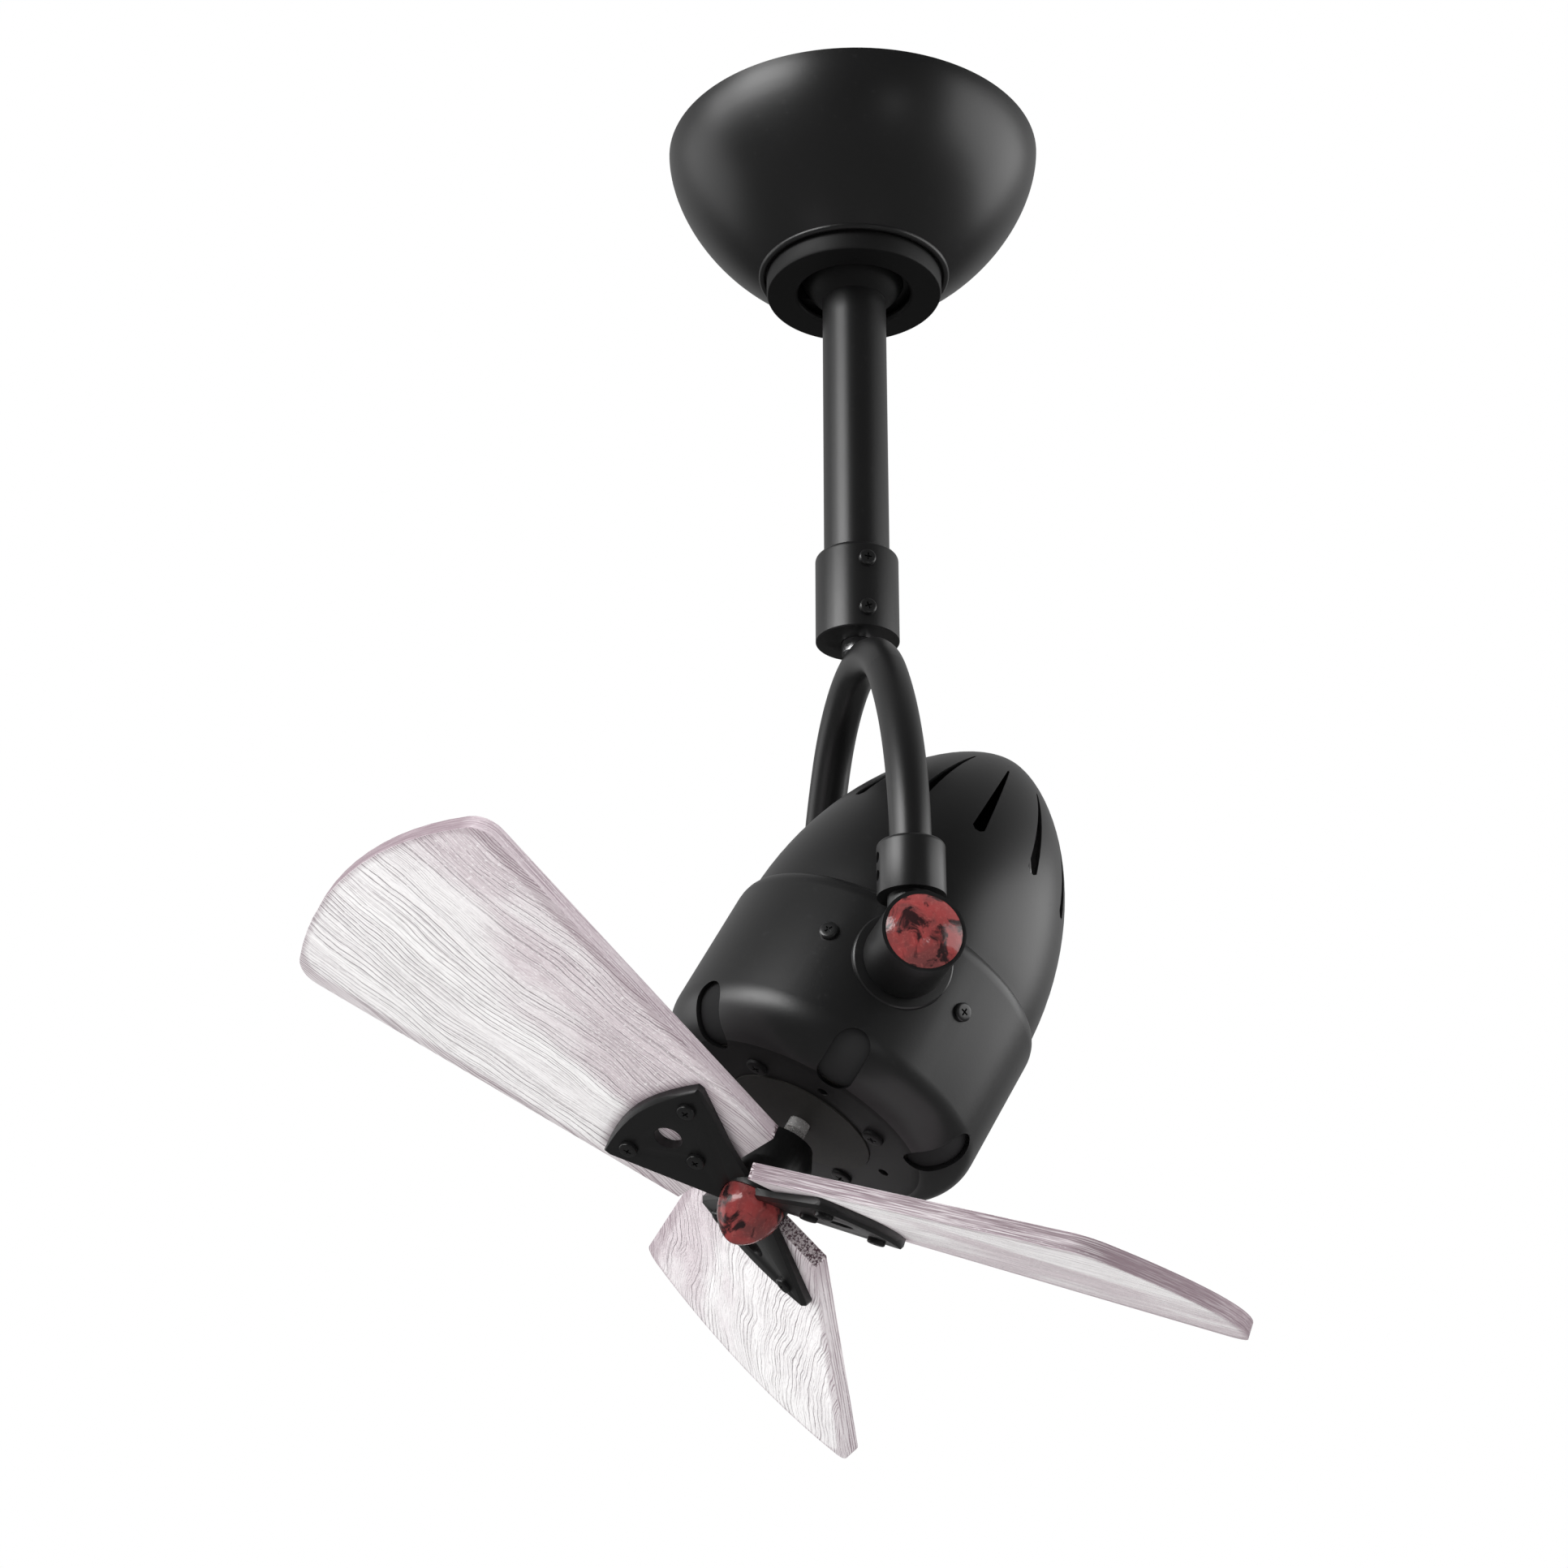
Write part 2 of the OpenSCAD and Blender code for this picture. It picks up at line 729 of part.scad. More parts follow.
module output_shaft() {
    color("silver")
        translate([0, 0, swivel_top_end_z - 4.6])
            cylinder(h = gearmotor_z + 7.6 - (swivel_top_end_z - 4.6), r = output_r);
}

// Sleeve inside the collar that carries the swivel's bearings
module swivel_housing() {
    color([0.5, 0.5, 0.52])
        difference() {
            ring(rod_r, swivel_bearing_d / 2, collar_floor_z, swivel_top_z);
            translate([0, 0, collar_screw_z[1]])
                along_x()
                    cylinder(h = rod_r + 1, r = collar_screw_r);
        }
}

// Grooved race of a ball bearing
module outer_race(outside_r, pitch_r, ball_r, width, z0) {
    difference() {
        ring(outside_r, pitch_r + ball_r - 0.4, z0, z0 + width);
        translate([0, 0, z0 + width / 2])
            rotate_extrude()
                translate([pitch_r, 0])
                    circle(r = ball_r + run_gap);
    }
}

module inner_race(bore_r, pitch_r, ball_r, width, z0) {
    difference() {
        ring(pitch_r - ball_r + 0.4, bore_r, z0, z0 + width);
        translate([0, 0, z0 + width / 2])
            rotate_extrude()
                translate([pitch_r, 0])
                    circle(r = ball_r + run_gap);
    }
}

module ball_set(pitch_r, ball_r, count, z) {
    for (i = [0:count - 1])
        rotate([0, 0, i * 360 / count])
            translate([pitch_r, 0, z])
                sphere(r = ball_r, $fn = 32);
}

module swivel_outer_races() {
    color("silver")
        for (z = [upper_bearing_z, lower_bearing_z])
            outer_race(swivel_bearing_d / 2, swivel_pitch_r, swivel_ball_r, swivel_bearing_w, z);
}

module swivel_balls() {
    color("gainsboro")
        for (z = [upper_bearing_z, lower_bearing_z])
            ball_set(swivel_pitch_r, swivel_ball_r, 9, z + swivel_bearing_w / 2);
}

module swivel_inner_races() {
    color("silver")
        for (z = [upper_bearing_z, lower_bearing_z])
            inner_race(swivel_r, swivel_pitch_r, swivel_ball_r, swivel_bearing_w, z);
}

module bearing_spacer() {
    color([0.7, 0.7, 0.72])
        ring(swivel_bearing_d / 2, swivel_bearing_d / 2 - 1.4, spacer_z, upper_bearing_z);
}

module swivel_clip() {
    color([0.4, 0.4, 0.42])
        difference() {
            ring(swivel_r + 2, swivel_r - 0.6, stack_top_z, stack_top_z + clip_h);
            translate([-1.5, 0, stack_top_z - 1])
                cube([3, swivel_r + 3, clip_h + 2]);
        }
}

// Hollow shaft that the yoke hangs from, with a window for the lead
module swivel_shaft() {
    color("silver")
        difference() {
            union() {
                translate([0, 0, crown_z])
                    cylinder(h = swivel_top_end_z - crown_z, r = swivel_r);
                translate([0, 0, crown_z + tube_r - 0.6])
                    cylinder(h = lower_bearing_z - (crown_z + tube_r - 0.6), r = swivel_r + 1.1);
            }
            translate([0, 0, crown_z - 1])
                cylinder(h = swivel_top_end_z - crown_z + 2, r = swivel_bore_d / 2);
            difference() {
                translate([0, 0, stack_top_z])
                    cylinder(h = clip_h, r = swivel_r + 1);
                translate([0, 0, stack_top_z - 1])
                    cylinder(h = clip_h + 2, r = swivel_r - 0.6);
            }
            translate([-1.8, 0, window_z])
                cube([3.6, swivel_r + 1, window_h]);
            translate([0, -lead_notch_w / 2, crown_z - 1])
                cube([swivel_r + 2, lead_notch_w, lead_notch_h + 1]);
        }
}

// Cable in the rod, beside the gearmotor
module rod_lead() {
    color([0.15, 0.15, 0.15])
        translate([0, rod_bore_r - lead_r - 0.1, window_z + window_h + 0.6])
            cylinder(h = rod_top_z - window_z - window_h, r = lead_r);
}

// One bend of the yoke's tube, in the XZ plane about a centre
module tube_bend(x, z, bend_r, from, turn, r) {
    translate([x, 0, z])
        rotate([90, 0, 0])
            rotate([0, 0, from])
                rotate_extrude(angle = turn)
                    translate([bend_r, 0])
                        circle(r = r);
}

// The yoke's whole path as a solid of radius r. Each length of it runs a little way into
// the one above it, a hair thinner, so that the three lengths are one solid.
module yoke_path(r, extra) {
    shoulder_x = arm_x - shoulder_r;
    lap_turn = tube_lap / shoulder_r * 180 / PI;
    tube_bend(0, crown_z - crown_r, crown_r, 90 - crown_turn, 2 * crown_turn, r);
    both_sides()
        tube_bend(shoulder_x, arch_end_z, shoulder_r, 0, 90 - crown_turn + lap_turn, r - hair);
    both_sides()
        translate([arm_x, 0, tube_end_z - extra])
            cylinder(h = leg_straight + extra + tube_lap, r = r - 2 * hair);
}

// Yoke: one tube bent to an arch, with a hole in its crown for the swivel shaft
module yoke() {
    color([0.1, 0.1, 0.11])
        difference() {
            yoke_path(tube_r, 0);
            yoke_path(tube_bore_r, 1);
            translate([0, 0, crown_z])
                cylinder(h = tube_d, r = swivel_r);
            translate([0, 0, crown_z + tube_r - 0.6])
                cylinder(h = tube_d, r = swivel_r + 1.1);
        }
}

// Tilt knuckle: an upright socket for the tube and a bored barrel on the tilt axis
module tilt_knuckle() {
    socket_r = socket_d / 2;
    top_z = pivot_z + socket_top;
    difference() {
        union() {
            translate([barrel_x, 0, pivot_z])
                along_x()
                    cylinder(h = barrel_l, r = barrel_d / 2);
            translate([arm_x, 0, pivot_z + barrel_bore_r])
                cylinder(h = socket_bottom - barrel_bore_r + 1, d = socket_neck_d);
            translate([arm_x, 0, 0])
                rotate_extrude()
                    polygon(concat(
                        [[0, top_z], [0, pivot_z + socket_bottom], [socket_r, pivot_z + socket_bottom]],
                        corner_arc(socket_r - socket_round, top_z - socket_round, socket_round,
                            0, 90, 5)));
        }
        translate([web_x, 0, pivot_z])
            along_x()
                cylinder(h = barrel_l, r = barrel_bore_r);
        translate([barrel_end_x - cap_seat, 0, pivot_z])
            along_x()
                cylinder(h = cap_seat + 1, r = pivot_cap_d / 2 + slip_gap);
        translate([barrel_x - 1, 0, pivot_z])
            along_x()
                cylinder(h = 10, r = pivot_bolt_r + run_gap);
        translate([arm_x, 0, tube_end_z])
            cylinder(h = socket_top, r = tube_r + slip_gap);
        translate([arm_x, 0, pivot_z + barrel_bore_r - 2])
            cylinder(h = tube_end_above_pivot - barrel_bore_r + 3, r = lead_hole_r);
        for (z = socket_screw_z)
            translate([arm_x, 0, z])
                rotate([90, 0, 0])
                    cylinder(h = socket_r + 1, r = socket_screw_r);
    }
}

socket_screw_r = 2;
socket_screw_z = [pivot_z + socket_top - 6, pivot_z + tube_end_above_pivot + 5];

module socket_right() {
    color([0.1, 0.1, 0.11])
        tilt_knuckle();
}

module socket_left() {
    color([0.1, 0.1, 0.11])
        mirror([1, 0, 0])
            tilt_knuckle();
}

// Hex socket set screws that lock the tube in its sockets
module socket_screws() {
    depth = socket_d / 2 - tube_r - slip_gap - 0.8;
    color([0.25, 0.25, 0.26])
        both_sides()
            for (z = socket_screw_z)
                translate([arm_x, -tube_r - slip_gap, z])
                    rotate([90, 0, 0])
                        difference() {
                            cylinder(h = depth, r = socket_screw_r);
                            translate([0, 0, depth - 1.4])
                                cylinder(h = 2, r = 1.2, $fn = 6);
                        }
}

// Domed cap with a skirt that plugs the barrel
module pivot_cap() {
    cap_r = pivot_cap_d / 2;
    dome_r = (cap_r * cap_r + pivot_cap_dome * pivot_cap_dome) / (2 * pivot_cap_dome);
    skirt_r = barrel_bore_r - slip_gap;
    translate([barrel_end_x, 0, pivot_z])
        along_x() {
            translate([0, 0, -cap_seat])
                cylinder(h = cap_seat, r = cap_r);
            intersection() {
                translate([0, 0, pivot_cap_dome - dome_r])
                    sphere(r = dome_r);
                cylinder(h = pivot_cap_dome + 1, r = cap_r);
            }
            ring(skirt_r, skirt_r - 1.2, -cap_seat - 1.8, -cap_seat + eps);
        }
}

module pivot_cap_right() {
    color([0.45, 0.08, 0.08])
        pivot_cap();
}

module pivot_cap_left() {
    color([0.45, 0.08, 0.08])
        mirror([1, 0, 0])
            pivot_cap();
}

// Route of the yoke's cable, down the swivel shaft and the right arm
function arch_point(turn) = turn < crown_turn
    ? [crown_r * sin(turn), 0, crown_z - crown_r + crown_r * cos(turn)]
    : [arm_x - shoulder_r + shoulder_r * sin(turn), 0, arch_end_z + shoulder_r * cos(turn)];
lead_end_x = pivot_head_x + pivot_head_h + 2.2;
yoke_route = concat(
    [[0, rod_bore_r - lead_r - 1.6, window_z + 5], [0, 5.4, window_z + 4.1],
     [0, 3, window_z + 2.9], [0, 1.1, window_z + 0.8], [0, 0.3, window_z - 2], [0, 0, window_z - 6]],
    [[0, 0, crown_z + 9], [1.2, 0, crown_z + 3.6], [4, 0, crown_z + 0.6]],
    [for (turn = [8:8:88]) arch_point(turn)],
    [[arm_x, 0, arch_end_z - 8], [arm_x, 0, tube_end_z], [arm_x + 0.3, 0, pivot_z + 13],
     [arm_x + 1.8, 0, pivot_z + 10.6], [arm_x + 5, 0, pivot_z + 9.8],
     [lead_end_x - 1, 0, pivot_z + 8.2], [lead_end_x, 0, pivot_z + 5.4], [lead_end_x, 0, pivot_z + 1]]
);

module yoke_lead() {
    color([0.15, 0.15, 0.15])
        swept_tube(yoke_route, lead_r - 0.1, 8, [0.02, 1, 0.01]);
}

// Tilt bolts: hollow, so the lead can pass through the tilt axis
module pivot_bolts() {
    shank_l = pivot_head_x - plate_boss_x;
    color("silver")
        in_head()
            both_sides()
                translate([plate_boss_x, 0, 0])
                    along_x()
                        difference() {
                            union() {
                                cylinder(h = shank_l, r = pivot_bolt_r);
                                translate([0, 0, shank_l])
                                    cylinder(h = pivot_head_h, d = pivot_head_across / cos(30),
                                        $fn = 6);
                            }
                            translate([0, 0, -1])
                                cylinder(h = shank_l + pivot_head_h + 2, r = pivot_bolt_bore_r);
                        }
}

module pivot_washers() {
    color("silver")
        in_head()
            both_sides()
                translate([web_x + 0.05, 0, 0])
                    along_x()
                        ring(pivot_washer_r, pivot_bolt_r, 0, pivot_washer_h);
}

// Curved spring washers, drawn at their clamped height
module pivot_springs() {
    color([0.55, 0.55, 0.58])
        in_head()
            both_sides()
                translate([web_x + 0.05 + pivot_washer_h, 0, 0])
                    along_x()
                        ring(pivot_washer_r - 1, pivot_bolt_r, 0, pivot_spring_h);
}

module friction_washers() {
    color([0.2, 0.2, 0.2])
        in_head()
            both_sides()
                translate([boss_face_x, 0, 0])
                    along_x()
                        ring(friction_washer_r, pivot_bolt_r, 0, friction_washer_h);
}

// Curved plates inside the housing that the tilt bolts screw into
module pivot_plates() {
    color([0.6, 0.6, 0.62])
        in_head()
            both_sides()
                difference() {
                    union() {
                        intersection() {
                            ring(plate_out_r, plate_in_r, -plate_half_h, plate_half_h);
                            translate([20, -plate_half_w, -plate_half_h])
                                cube([housing_r, 2 * plate_half_w, 2 * plate_half_h]);
                        }
                        translate([plate_boss_x, 0, 0])
                            along_x()
                                cylinder(h = plate_in_r + 1 - plate_boss_x, r = plate_boss_r);
                    }
                    translate([plate_boss_x - 1, 0, 0])
                        along_x()
                            cylinder(h = 20, r = pivot_bolt_r);
                    side_screw_holes(side_screw_r);
                }
}

// Radial holes for the screws beside the right tilt boss
module side_screw_holes(r) {
    for (turn = [-side_screw_turn, side_screw_turn])
        rotate([0, 0, turn])
            translate([plate_in_r - 4, 0, side_screw_z])
                along_x()
                    cylinder(h = 20, r = r);
}

// Front housing: a cast cup with round shoulders, oval slots and two tilt bosses
module front_housing() {
    outer = concat(
        [[seam_r, seam_z]],
        [for (i = [1:5]) [seam_r + rear_edge_r * sin(18 * i),
            seam_z - 2 * rear_edge_r * (1 - cos(18 * i))]],
        quarter(front_edge_r, shoulder_z, shoulder_w, shoulder_h, 16));
    inner_r = housing_r - housing_wall;
    inner = quarter(front_edge_r, shoulder_z, shoulder_w - housing_wall,
        shoulder_h - housing_wall, 16);
    inner_back = [for (i = [len(inner) - 1:-1:0]) inner[i]];
    color([0.1, 0.1, 0.11])
        in_head()
            difference() {
                union() {
                    rotate_extrude($fn = 128)
                        polygon(concat(outer,
                            [[nose_hole_d / 2, front_z], [nose_hole_d / 2, front_z + housing_wall]],
                            inner_back,
                            [[inner_r, thick_zone_z], [housing_bore_r, thick_zone_z],
                             [housing_bore_r, seam_z]]));
                    both_sides()
                        translate([housing_r - 3, 0, 0])
                            along_x()
                                tilt_boss();
                }
                translate([0, 0, thick_zone_z])
                    cylinder(h = seam_z - thick_zone_z + 1, r = housing_bore_r, $fn = 128);
                both_sides()
                    translate([plate_in_r, 0, 0])
                        along_x()
                            cylinder(h = 20, r = pivot_bolt_r + 0.15);
                both_sides()
                    side_screw_holes(side_screw_r + 0.1);
                for (i = [0:oval_slots - 1])
                    rotate([0, 0, i * 360 / oval_slots - slot_turn])
                        oval_slot();
                for (turn = front_screw_turns)
                    rotate([0, 0, turn])
                        translate([front_screw_pitch_r, 0, front_z - 1])
                            cylinder(h = housing_wall + 2, r = front_screw_r + 0.1);
                for (turn = drain_hole_turns)
                    rotate([0, 0, turn])
                        translate([front_screw_pitch_r + 1, 0, front_z - 1])
                            cylinder(h = housing_wall + 2, r = drain_hole_r);
            }
}

// Round boss that the friction washer bears on, with a coned foot
module tilt_boss() {
    foot = tilt_boss_d / 2;
    cylinder(h = 3 + tilt_boss_h - 0.5, r = foot);
    translate([0, 0, 3 + tilt_boss_h - 0.5])
        cylinder(h = 0.5, r1 = foot, r2 = foot - 0.5);
}

// One oval slot, cut square to the shoulder's slope
module oval_slot() {
    mid_r = housing_r - shoulder_w * 0.5;
    mid_z = shoulder_z - shoulder_h * 0.57;
    translate([mid_r, 0, mid_z])
        rotate([0, 90 + slot_tilt, 0])
            translate([0, 0, -12])
                linear_extrude(30)
                    stadium(oval_slot_l, oval_slot_w);
}

// Rear cover: a tapering shell with a sleeve inside the housing and a ring of slits
module rear_cover() {
    steps = 28;
    outer = tail_outline(seam_r, tail_l, steps);
    shell = tail_outline(seam_r - cover_wall, tail_l - cover_wall, steps);
    inner = [for (i = [steps:-1:0]) shell[i]];
    color([0.1, 0.1, 0.11])
        in_head()
            difference() {
                rotate_extrude($fn = 128)
                    polygon(concat(outer, inner, [
                        [sleeve_bore_r, seam_z - 1.2], [sleeve_bore_r, sleeve_end_z],
                        [sleeve_r, sleeve_end_z], [sleeve_r, seam_z]
                    ]));
                for (i = [0:slits - 1])
                    rotate([0, 0, i * 360 / slits])
                        tapered_slit();
                both_sides()
                    translate([plate_in_r, 0, 0])
                        along_x()
                            cylinder(h = 20, r = pivot_bolt_r + 0.15);
                both_sides()
                    side_screw_holes(side_screw_r + 0.1);
            }
}

// One slit: wide towards the seam and narrow towards the tip
module tapered_slit() {
    round_r = slit_wide * 0.3;
    translate([14, 0, 0])
        rotate([90, 0, 90])
            linear_extrude(housing_r)
                polygon([
                    [-slit_wide / 2, slit_from + round_r], [-slit_wide / 2 + round_r, slit_from],
                    [slit_wide / 2 - round_r, slit_from], [slit_wide / 2, slit_from + round_r],
                    [slit_narrow / 2, slit_to], [-slit_narrow / 2, slit_to]
                ]);
}

module housing_screws() {
    reach = housing_r - plate_in_r - 0.6;
    color([0.2, 0.2, 0.21])
        in_head()
            both_sides()
                for (turn = [-side_screw_turn, side_screw_turn])
                    rotate([0, 0, turn])
                        translate([housing_r, 0, side_screw_z])
                            along_x()
                                pan_screw(side_screw_head_r, side_screw_head_h, side_screw_r, reach);
}

module front_screws() {
    color([0.2, 0.2, 0.21])
        in_head()
            for (turn = front_screw_turns)
                rotate([0, 0, turn])
                    translate([front_screw_pitch_r, 0, front_z])
                        rotate([180, 0, 0])
                            pan_screw(front_screw_head_r, front_screw_head_h, front_screw_r,
                                housing_wall + bell_plate);
}

// Front bell: the motor's nose, its bearing seat and the wall down to the stator
module motor_front_bell() {
    color([0.36, 0.36, 0.33])
        in_head()
            difference() {
                union() {
                    ring(nose_r, shaft_r + 0.4, nose_z, bell_face_z);
                    ring(bell_r, shaft_r + 0.4, bell_face_z, bell_face_z + bell_plate);
                    ring(bell_r, bell_r - bell_wall, bell_face_z, stack_z);
                    ring(bearing_boss_r, shaft_r + 0.4, bell_face_z,
                        front_bearing_z + motor_bearing_w);
                }
                translate([0, 0, front_bearing_z])
                    cylinder(h = motor_bearing_w + 1, r = motor_bearing_r);
                for (turn = front_screw_turns)
                    rotate([0, 0, turn])
                        translate([front_screw_pitch_r, 0, bell_face_z - 1])
                            cylinder(h = bell_plate + 2, r = front_screw_r);
                for (turn = through_bolt_turns)
                    rotate([0, 0, turn])
                        translate([through_bolt_pitch_r, 0, bell_face_z - 1])
                            cylinder(h = bell_plate + 2, r = through_bolt_r);
            }
}

module motor_rear_bell() {
    color([0.36, 0.36, 0.33])
        in_head()
            difference() {
                union() {
                    ring(bell_r, bell_r - bell_wall, stack_top, rear_plate_z + rear_plate);
                    ring(bell_r, shaft_r + 0.4, rear_plate_z, rear_plate_z + rear_plate);
                    translate([0, 0, rear_bearing_z - 1])
                        cylinder(h = rear_boss_z - rear_bearing_z + 1, r = bearing_boss_r);
                }
                translate([0, 0, rear_bearing_z - 2])
                    cylinder(h = motor_bearing_w + 2, r = motor_bearing_r);
                for (turn = through_bolt_turns)
                    rotate([0, 0, turn])
                        translate([through_bolt_pitch_r, 0, rear_plate_z - 1])
                            cylinder(h = rear_plate + 2, r = through_bolt_r);
                for (turn = [0, 60, 180, 240, 300])
                    rotate([0, 0, turn])
                        translate([27, 0, rear_plate_z - 1])
                            cylinder(h = rear_plate + 2, r = 4.5);
            }
}

module motor_through_bolts() {
    shank_l = rear_plate_z + rear_plate - bell_face_z;
    color("silver")
        in_head()
            for (turn = through_bolt_turns)
                rotate([0, 0, turn])
                    translate([through_bolt_pitch_r, 0, rear_plate_z + rear_plate])
                        pan_screw(2.8, 1.6, through_bolt_r, shank_l);
}

// One stator slot in plan: a tapered pocket, inset by the insulation
module slot_plan(inset) {
    polygon([
        [slot_in_r + inset, -slot_half_in + inset], [slot_in_r + inset, slot_half_in - inset],
        [slot_out_r - inset, slot_half_out - inset], [slot_out_r - inset, -slot_half_out + inset]
    ]);
}

// Stator: a laminated ring with teeth between its slots
module stator_core() {
    color([0.5, 0.5, 0.52])
        in_head()
            difference() {
                ring(bell_r, stator_bore / 2, stack_z, stack_top);
                translate([0, 0, stack_z - 1])
                    linear_extrude(stack_l + 2)
                        for (i = [0:stator_slots - 1])
                            rotate(i * 360 / stator_slots) {
                                slot_plan(0);
                                translate([slot_in_r - 3, -slot_mouth / 2])
                                    square([4, slot_mouth]);
                            }
                for (turn = through_bolt_turns)
                    rotate([0, 0, turn])
                        translate([through_bolt_pitch_r, 0, stack_z - 1])
                            cylinder(h = stack_l + 2, r = through_bolt_r);
            }
}

// Windings: a bar in each slot and a rounded bundle of end turns at each face
module stator_windings() {
    bundle_in = slot_in_r + insulation;
    bundle_out = slot_out_r + 0.6;
    bundle_h = 9;
    color([0.72, 0.4, 0.18])
        in_head() {
            translate([0, 0, stack_z - 1.2])
                linear_extrude(stack_l + 2.4)
                    for (i = [0:stator_slots - 1])
                        rotate(i * 360 / stator_slots)
                            slot_plan(insulation);
            for (side = [0, 1])
                translate([0, 0, side == 0 ? stack_z - 0.6 : stack_top + 0.6])
                    mirror([0, 0, 1 - side])
                        rotate_extrude()
                            polygon([
                                [bundle_in, 0], [bundle_out, 0], [bundle_out, bundle_h - 3],
                                [bundle_out - 3, bundle_h], [bundle_in + 3, bundle_h],
                                [bundle_in, bundle_h - 3]
                            ]);
        }
}

module motor_outer_races() {
    color("silver")
        in_head()
            for (z = [front_bearing_z, rear_bearing_z])
                outer_race(motor_bearing_r, motor_pitch_r, motor_ball_r, motor_bearing_w, z);
}

module motor_balls() {
    color("gainsboro")
        in_head()
            for (z = [front_bearing_z, rear_bearing_z])
                ball_set(motor_pitch_r, motor_ball_r, 7, z + motor_bearing_w / 2);
}

module motor_inner_races() {
    color("silver")
        in_head()
            for (z = [front_bearing_z, rear_bearing_z])
                inner_race(shaft_r, motor_pitch_r, motor_ball_r, motor_bearing_w, z);
}

module rotor_core() {
    color([0.5, 0.5, 0.52])
        in_head()
            ring(rotor_r, shaft_r, stack_z, stack_top);
}

// Cast end rings of the rotor's cage, with short cooling fins
module rotor_end_rings() {
    color([0.75, 0.76, 0.78])
        in_head()
            for (side = [0, 1])
                translate([0, 0, side == 0 ? stack_z : stack_top])
                    mirror([0, 0, 1 - side]) {
                        ring(rotor_r - 1, rotor_r - 7, 0, 3);
                        for (i = [0:8])
                            rotate([0, 0, i * 40])
                                translate([rotor_r - 6.6, -0.8, 2.9])
                                    cube([5, 1.6, 3]);
                    }
}

module motor_shaft() {
    color("silver")
        in_head()
            translate([0, 0, shaft_end_z])
                cylinder(h = shaft_top_z - shaft_end_z, r = shaft_r);
}

module run_capacitor() {
    color([0.13, 0.13, 0.14])
        in_head()
            translate([-capacitor_l / 2, capacitor_y, rear_plate_z + rear_plate])
                cube([capacitor_l, capacitor_w, capacitor_h]);
}

// Route of the head's cable, through the right tilt bolt and over the motor
head_route = [
    [pivot_head_x + pivot_head_h + 0.2, 0, 0], [70, 0, 0], [plate_boss_x + 5, 0, 0],
    [plate_boss_x + 0.6, 0, 0.2], [plate_boss_x - 1.1, 0, 1], [plate_boss_x - 2, 0, 2.8],
    [plate_boss_x - 2.1, 0.2, 6], [plate_boss_x - 2.1, 1, 12], [plate_boss_x - 2.1, 1.6, rear_plate_z + 4],
    [plate_boss_x - 4.6, 3, rear_plate_z + 7], [32, 8, rear_plate_z + 8],
    [24, 17, rear_plate_z + 8.5], [capacitor_l / 2 + 1.4, capacitor_y + 6, rear_plate_z + 9]
];

module head_lead() {
    color([0.15, 0.15, 0.15])
        in_head()
            swept_tube(head_route, lead_r - 0.1, 8, [0.02, 1, 0.01]);
}

// Hub on the shaft behind the blade arms
module hub() {
    color([0.1, 0.1, 0.11])
        in_head()
            difference() {
                union() {
                    translate([0, 0, hub_top_z - hub_cone_h])
                        cylinder(h = hub_cone_h, r1 = hub_r, r2 = hub_r - 3);
                    translate([0, 0, arm_disc_z])
                        cylinder(h = hub_top_z - hub_cone_h - arm_disc_z, r = hub_r);
                }
                translate([0, 0, arm_disc_z - 1])
                    cylinder(h = hub_top_z - arm_disc_z + 2, r = shaft_r);
            }
}

// Outline of one arm's plate: a narrow neck that opens to a fan with an arched edge
module arm_outline(inset) {
    side_x = arm_r - 8.8;
    half = arm_w / 2 - inset;
    arch = [for (i = [0:10])
        let (y = half - 2 * half * i / 10) [
            side_x + 2.2 + (arm_r - side_x - 2.2 - inset) * (1 - pow(abs(y / half), 1.8)), y]];
    translate([0, arm_shift])
        polygon(concat(
            [[6, -arm_neck_w / 2 + inset], [13, -arm_neck_w / 2 + inset], [side_x, -half]],
            [for (i = [10:-1:0]) arch[i]],
            [[side_x, half], [13, arm_neck_w / 2 - inset], [6, arm_neck_w / 2 - inset]]));
}

// One pitched arm: its plate has a bevelled front edge
module blade_arm() {
    translate([0, 0, -blade_thick / 2 - arm_thick + arm_bevel])
        linear_extrude(arm_thick - arm_bevel)
            arm_outline(0);
    translate([0, 0, -blade_thick / 2 - arm_thick])
        hull() {
            translate([0, 0, arm_bevel])
                linear_extrude(eps)
                    arm_outline(0);
            linear_extrude(eps)
                arm_outline(arm_bevel);
        }
}

// Places of one blade's three screws
function arm_screws() = [
    [arm_screw_in, arm_screw_shift], [arm_screw_out, arm_screw_shift - arm_screw_half],
    [arm_screw_out, arm_screw_shift + arm_screw_half]
];

// Blade arms: three pitched plates on one disc, drilled for the blades' screws
module blade_arms() {
    color([0.1, 0.1, 0.11])
        difference() {
            union() {
                for (i = [0:blade_count - 1])
                    in_blade(i)
                        blade_arm();
                in_head()
                    translate([0, 0, arm_front_z])
                        cylinder(h = arm_disc_z - arm_front_z, r = hub_r);
            }
            in_head()
                translate([0, 0, arm_front_z - 20])
                    cylinder(h = 20, r = cap_recess_r);
            in_head()
                translate([0, 0, arm_disc_z])
                    cylinder(h = 20, r = hub_r + 0.3);
            in_head()
                translate([0, 0, arm_front_z - 1])
                    cylinder(h = 20, r = shaft_r);
            for (i = [0:blade_count - 1])
                in_blade(i) {
                    for (p = arm_screws())
                        translate([p[0], p[1], -blade_thick])
                            translate([0, 0, -arm_thick])
                                cylinder(h = arm_thick + blade_thick, r = arm_screw_r);
                    translate([arm_hole_x, arm_screw_shift, -blade_thick - arm_thick])
                        cylinder(h = arm_thick + blade_thick, r = arm_hole_r);
                }
        }
}

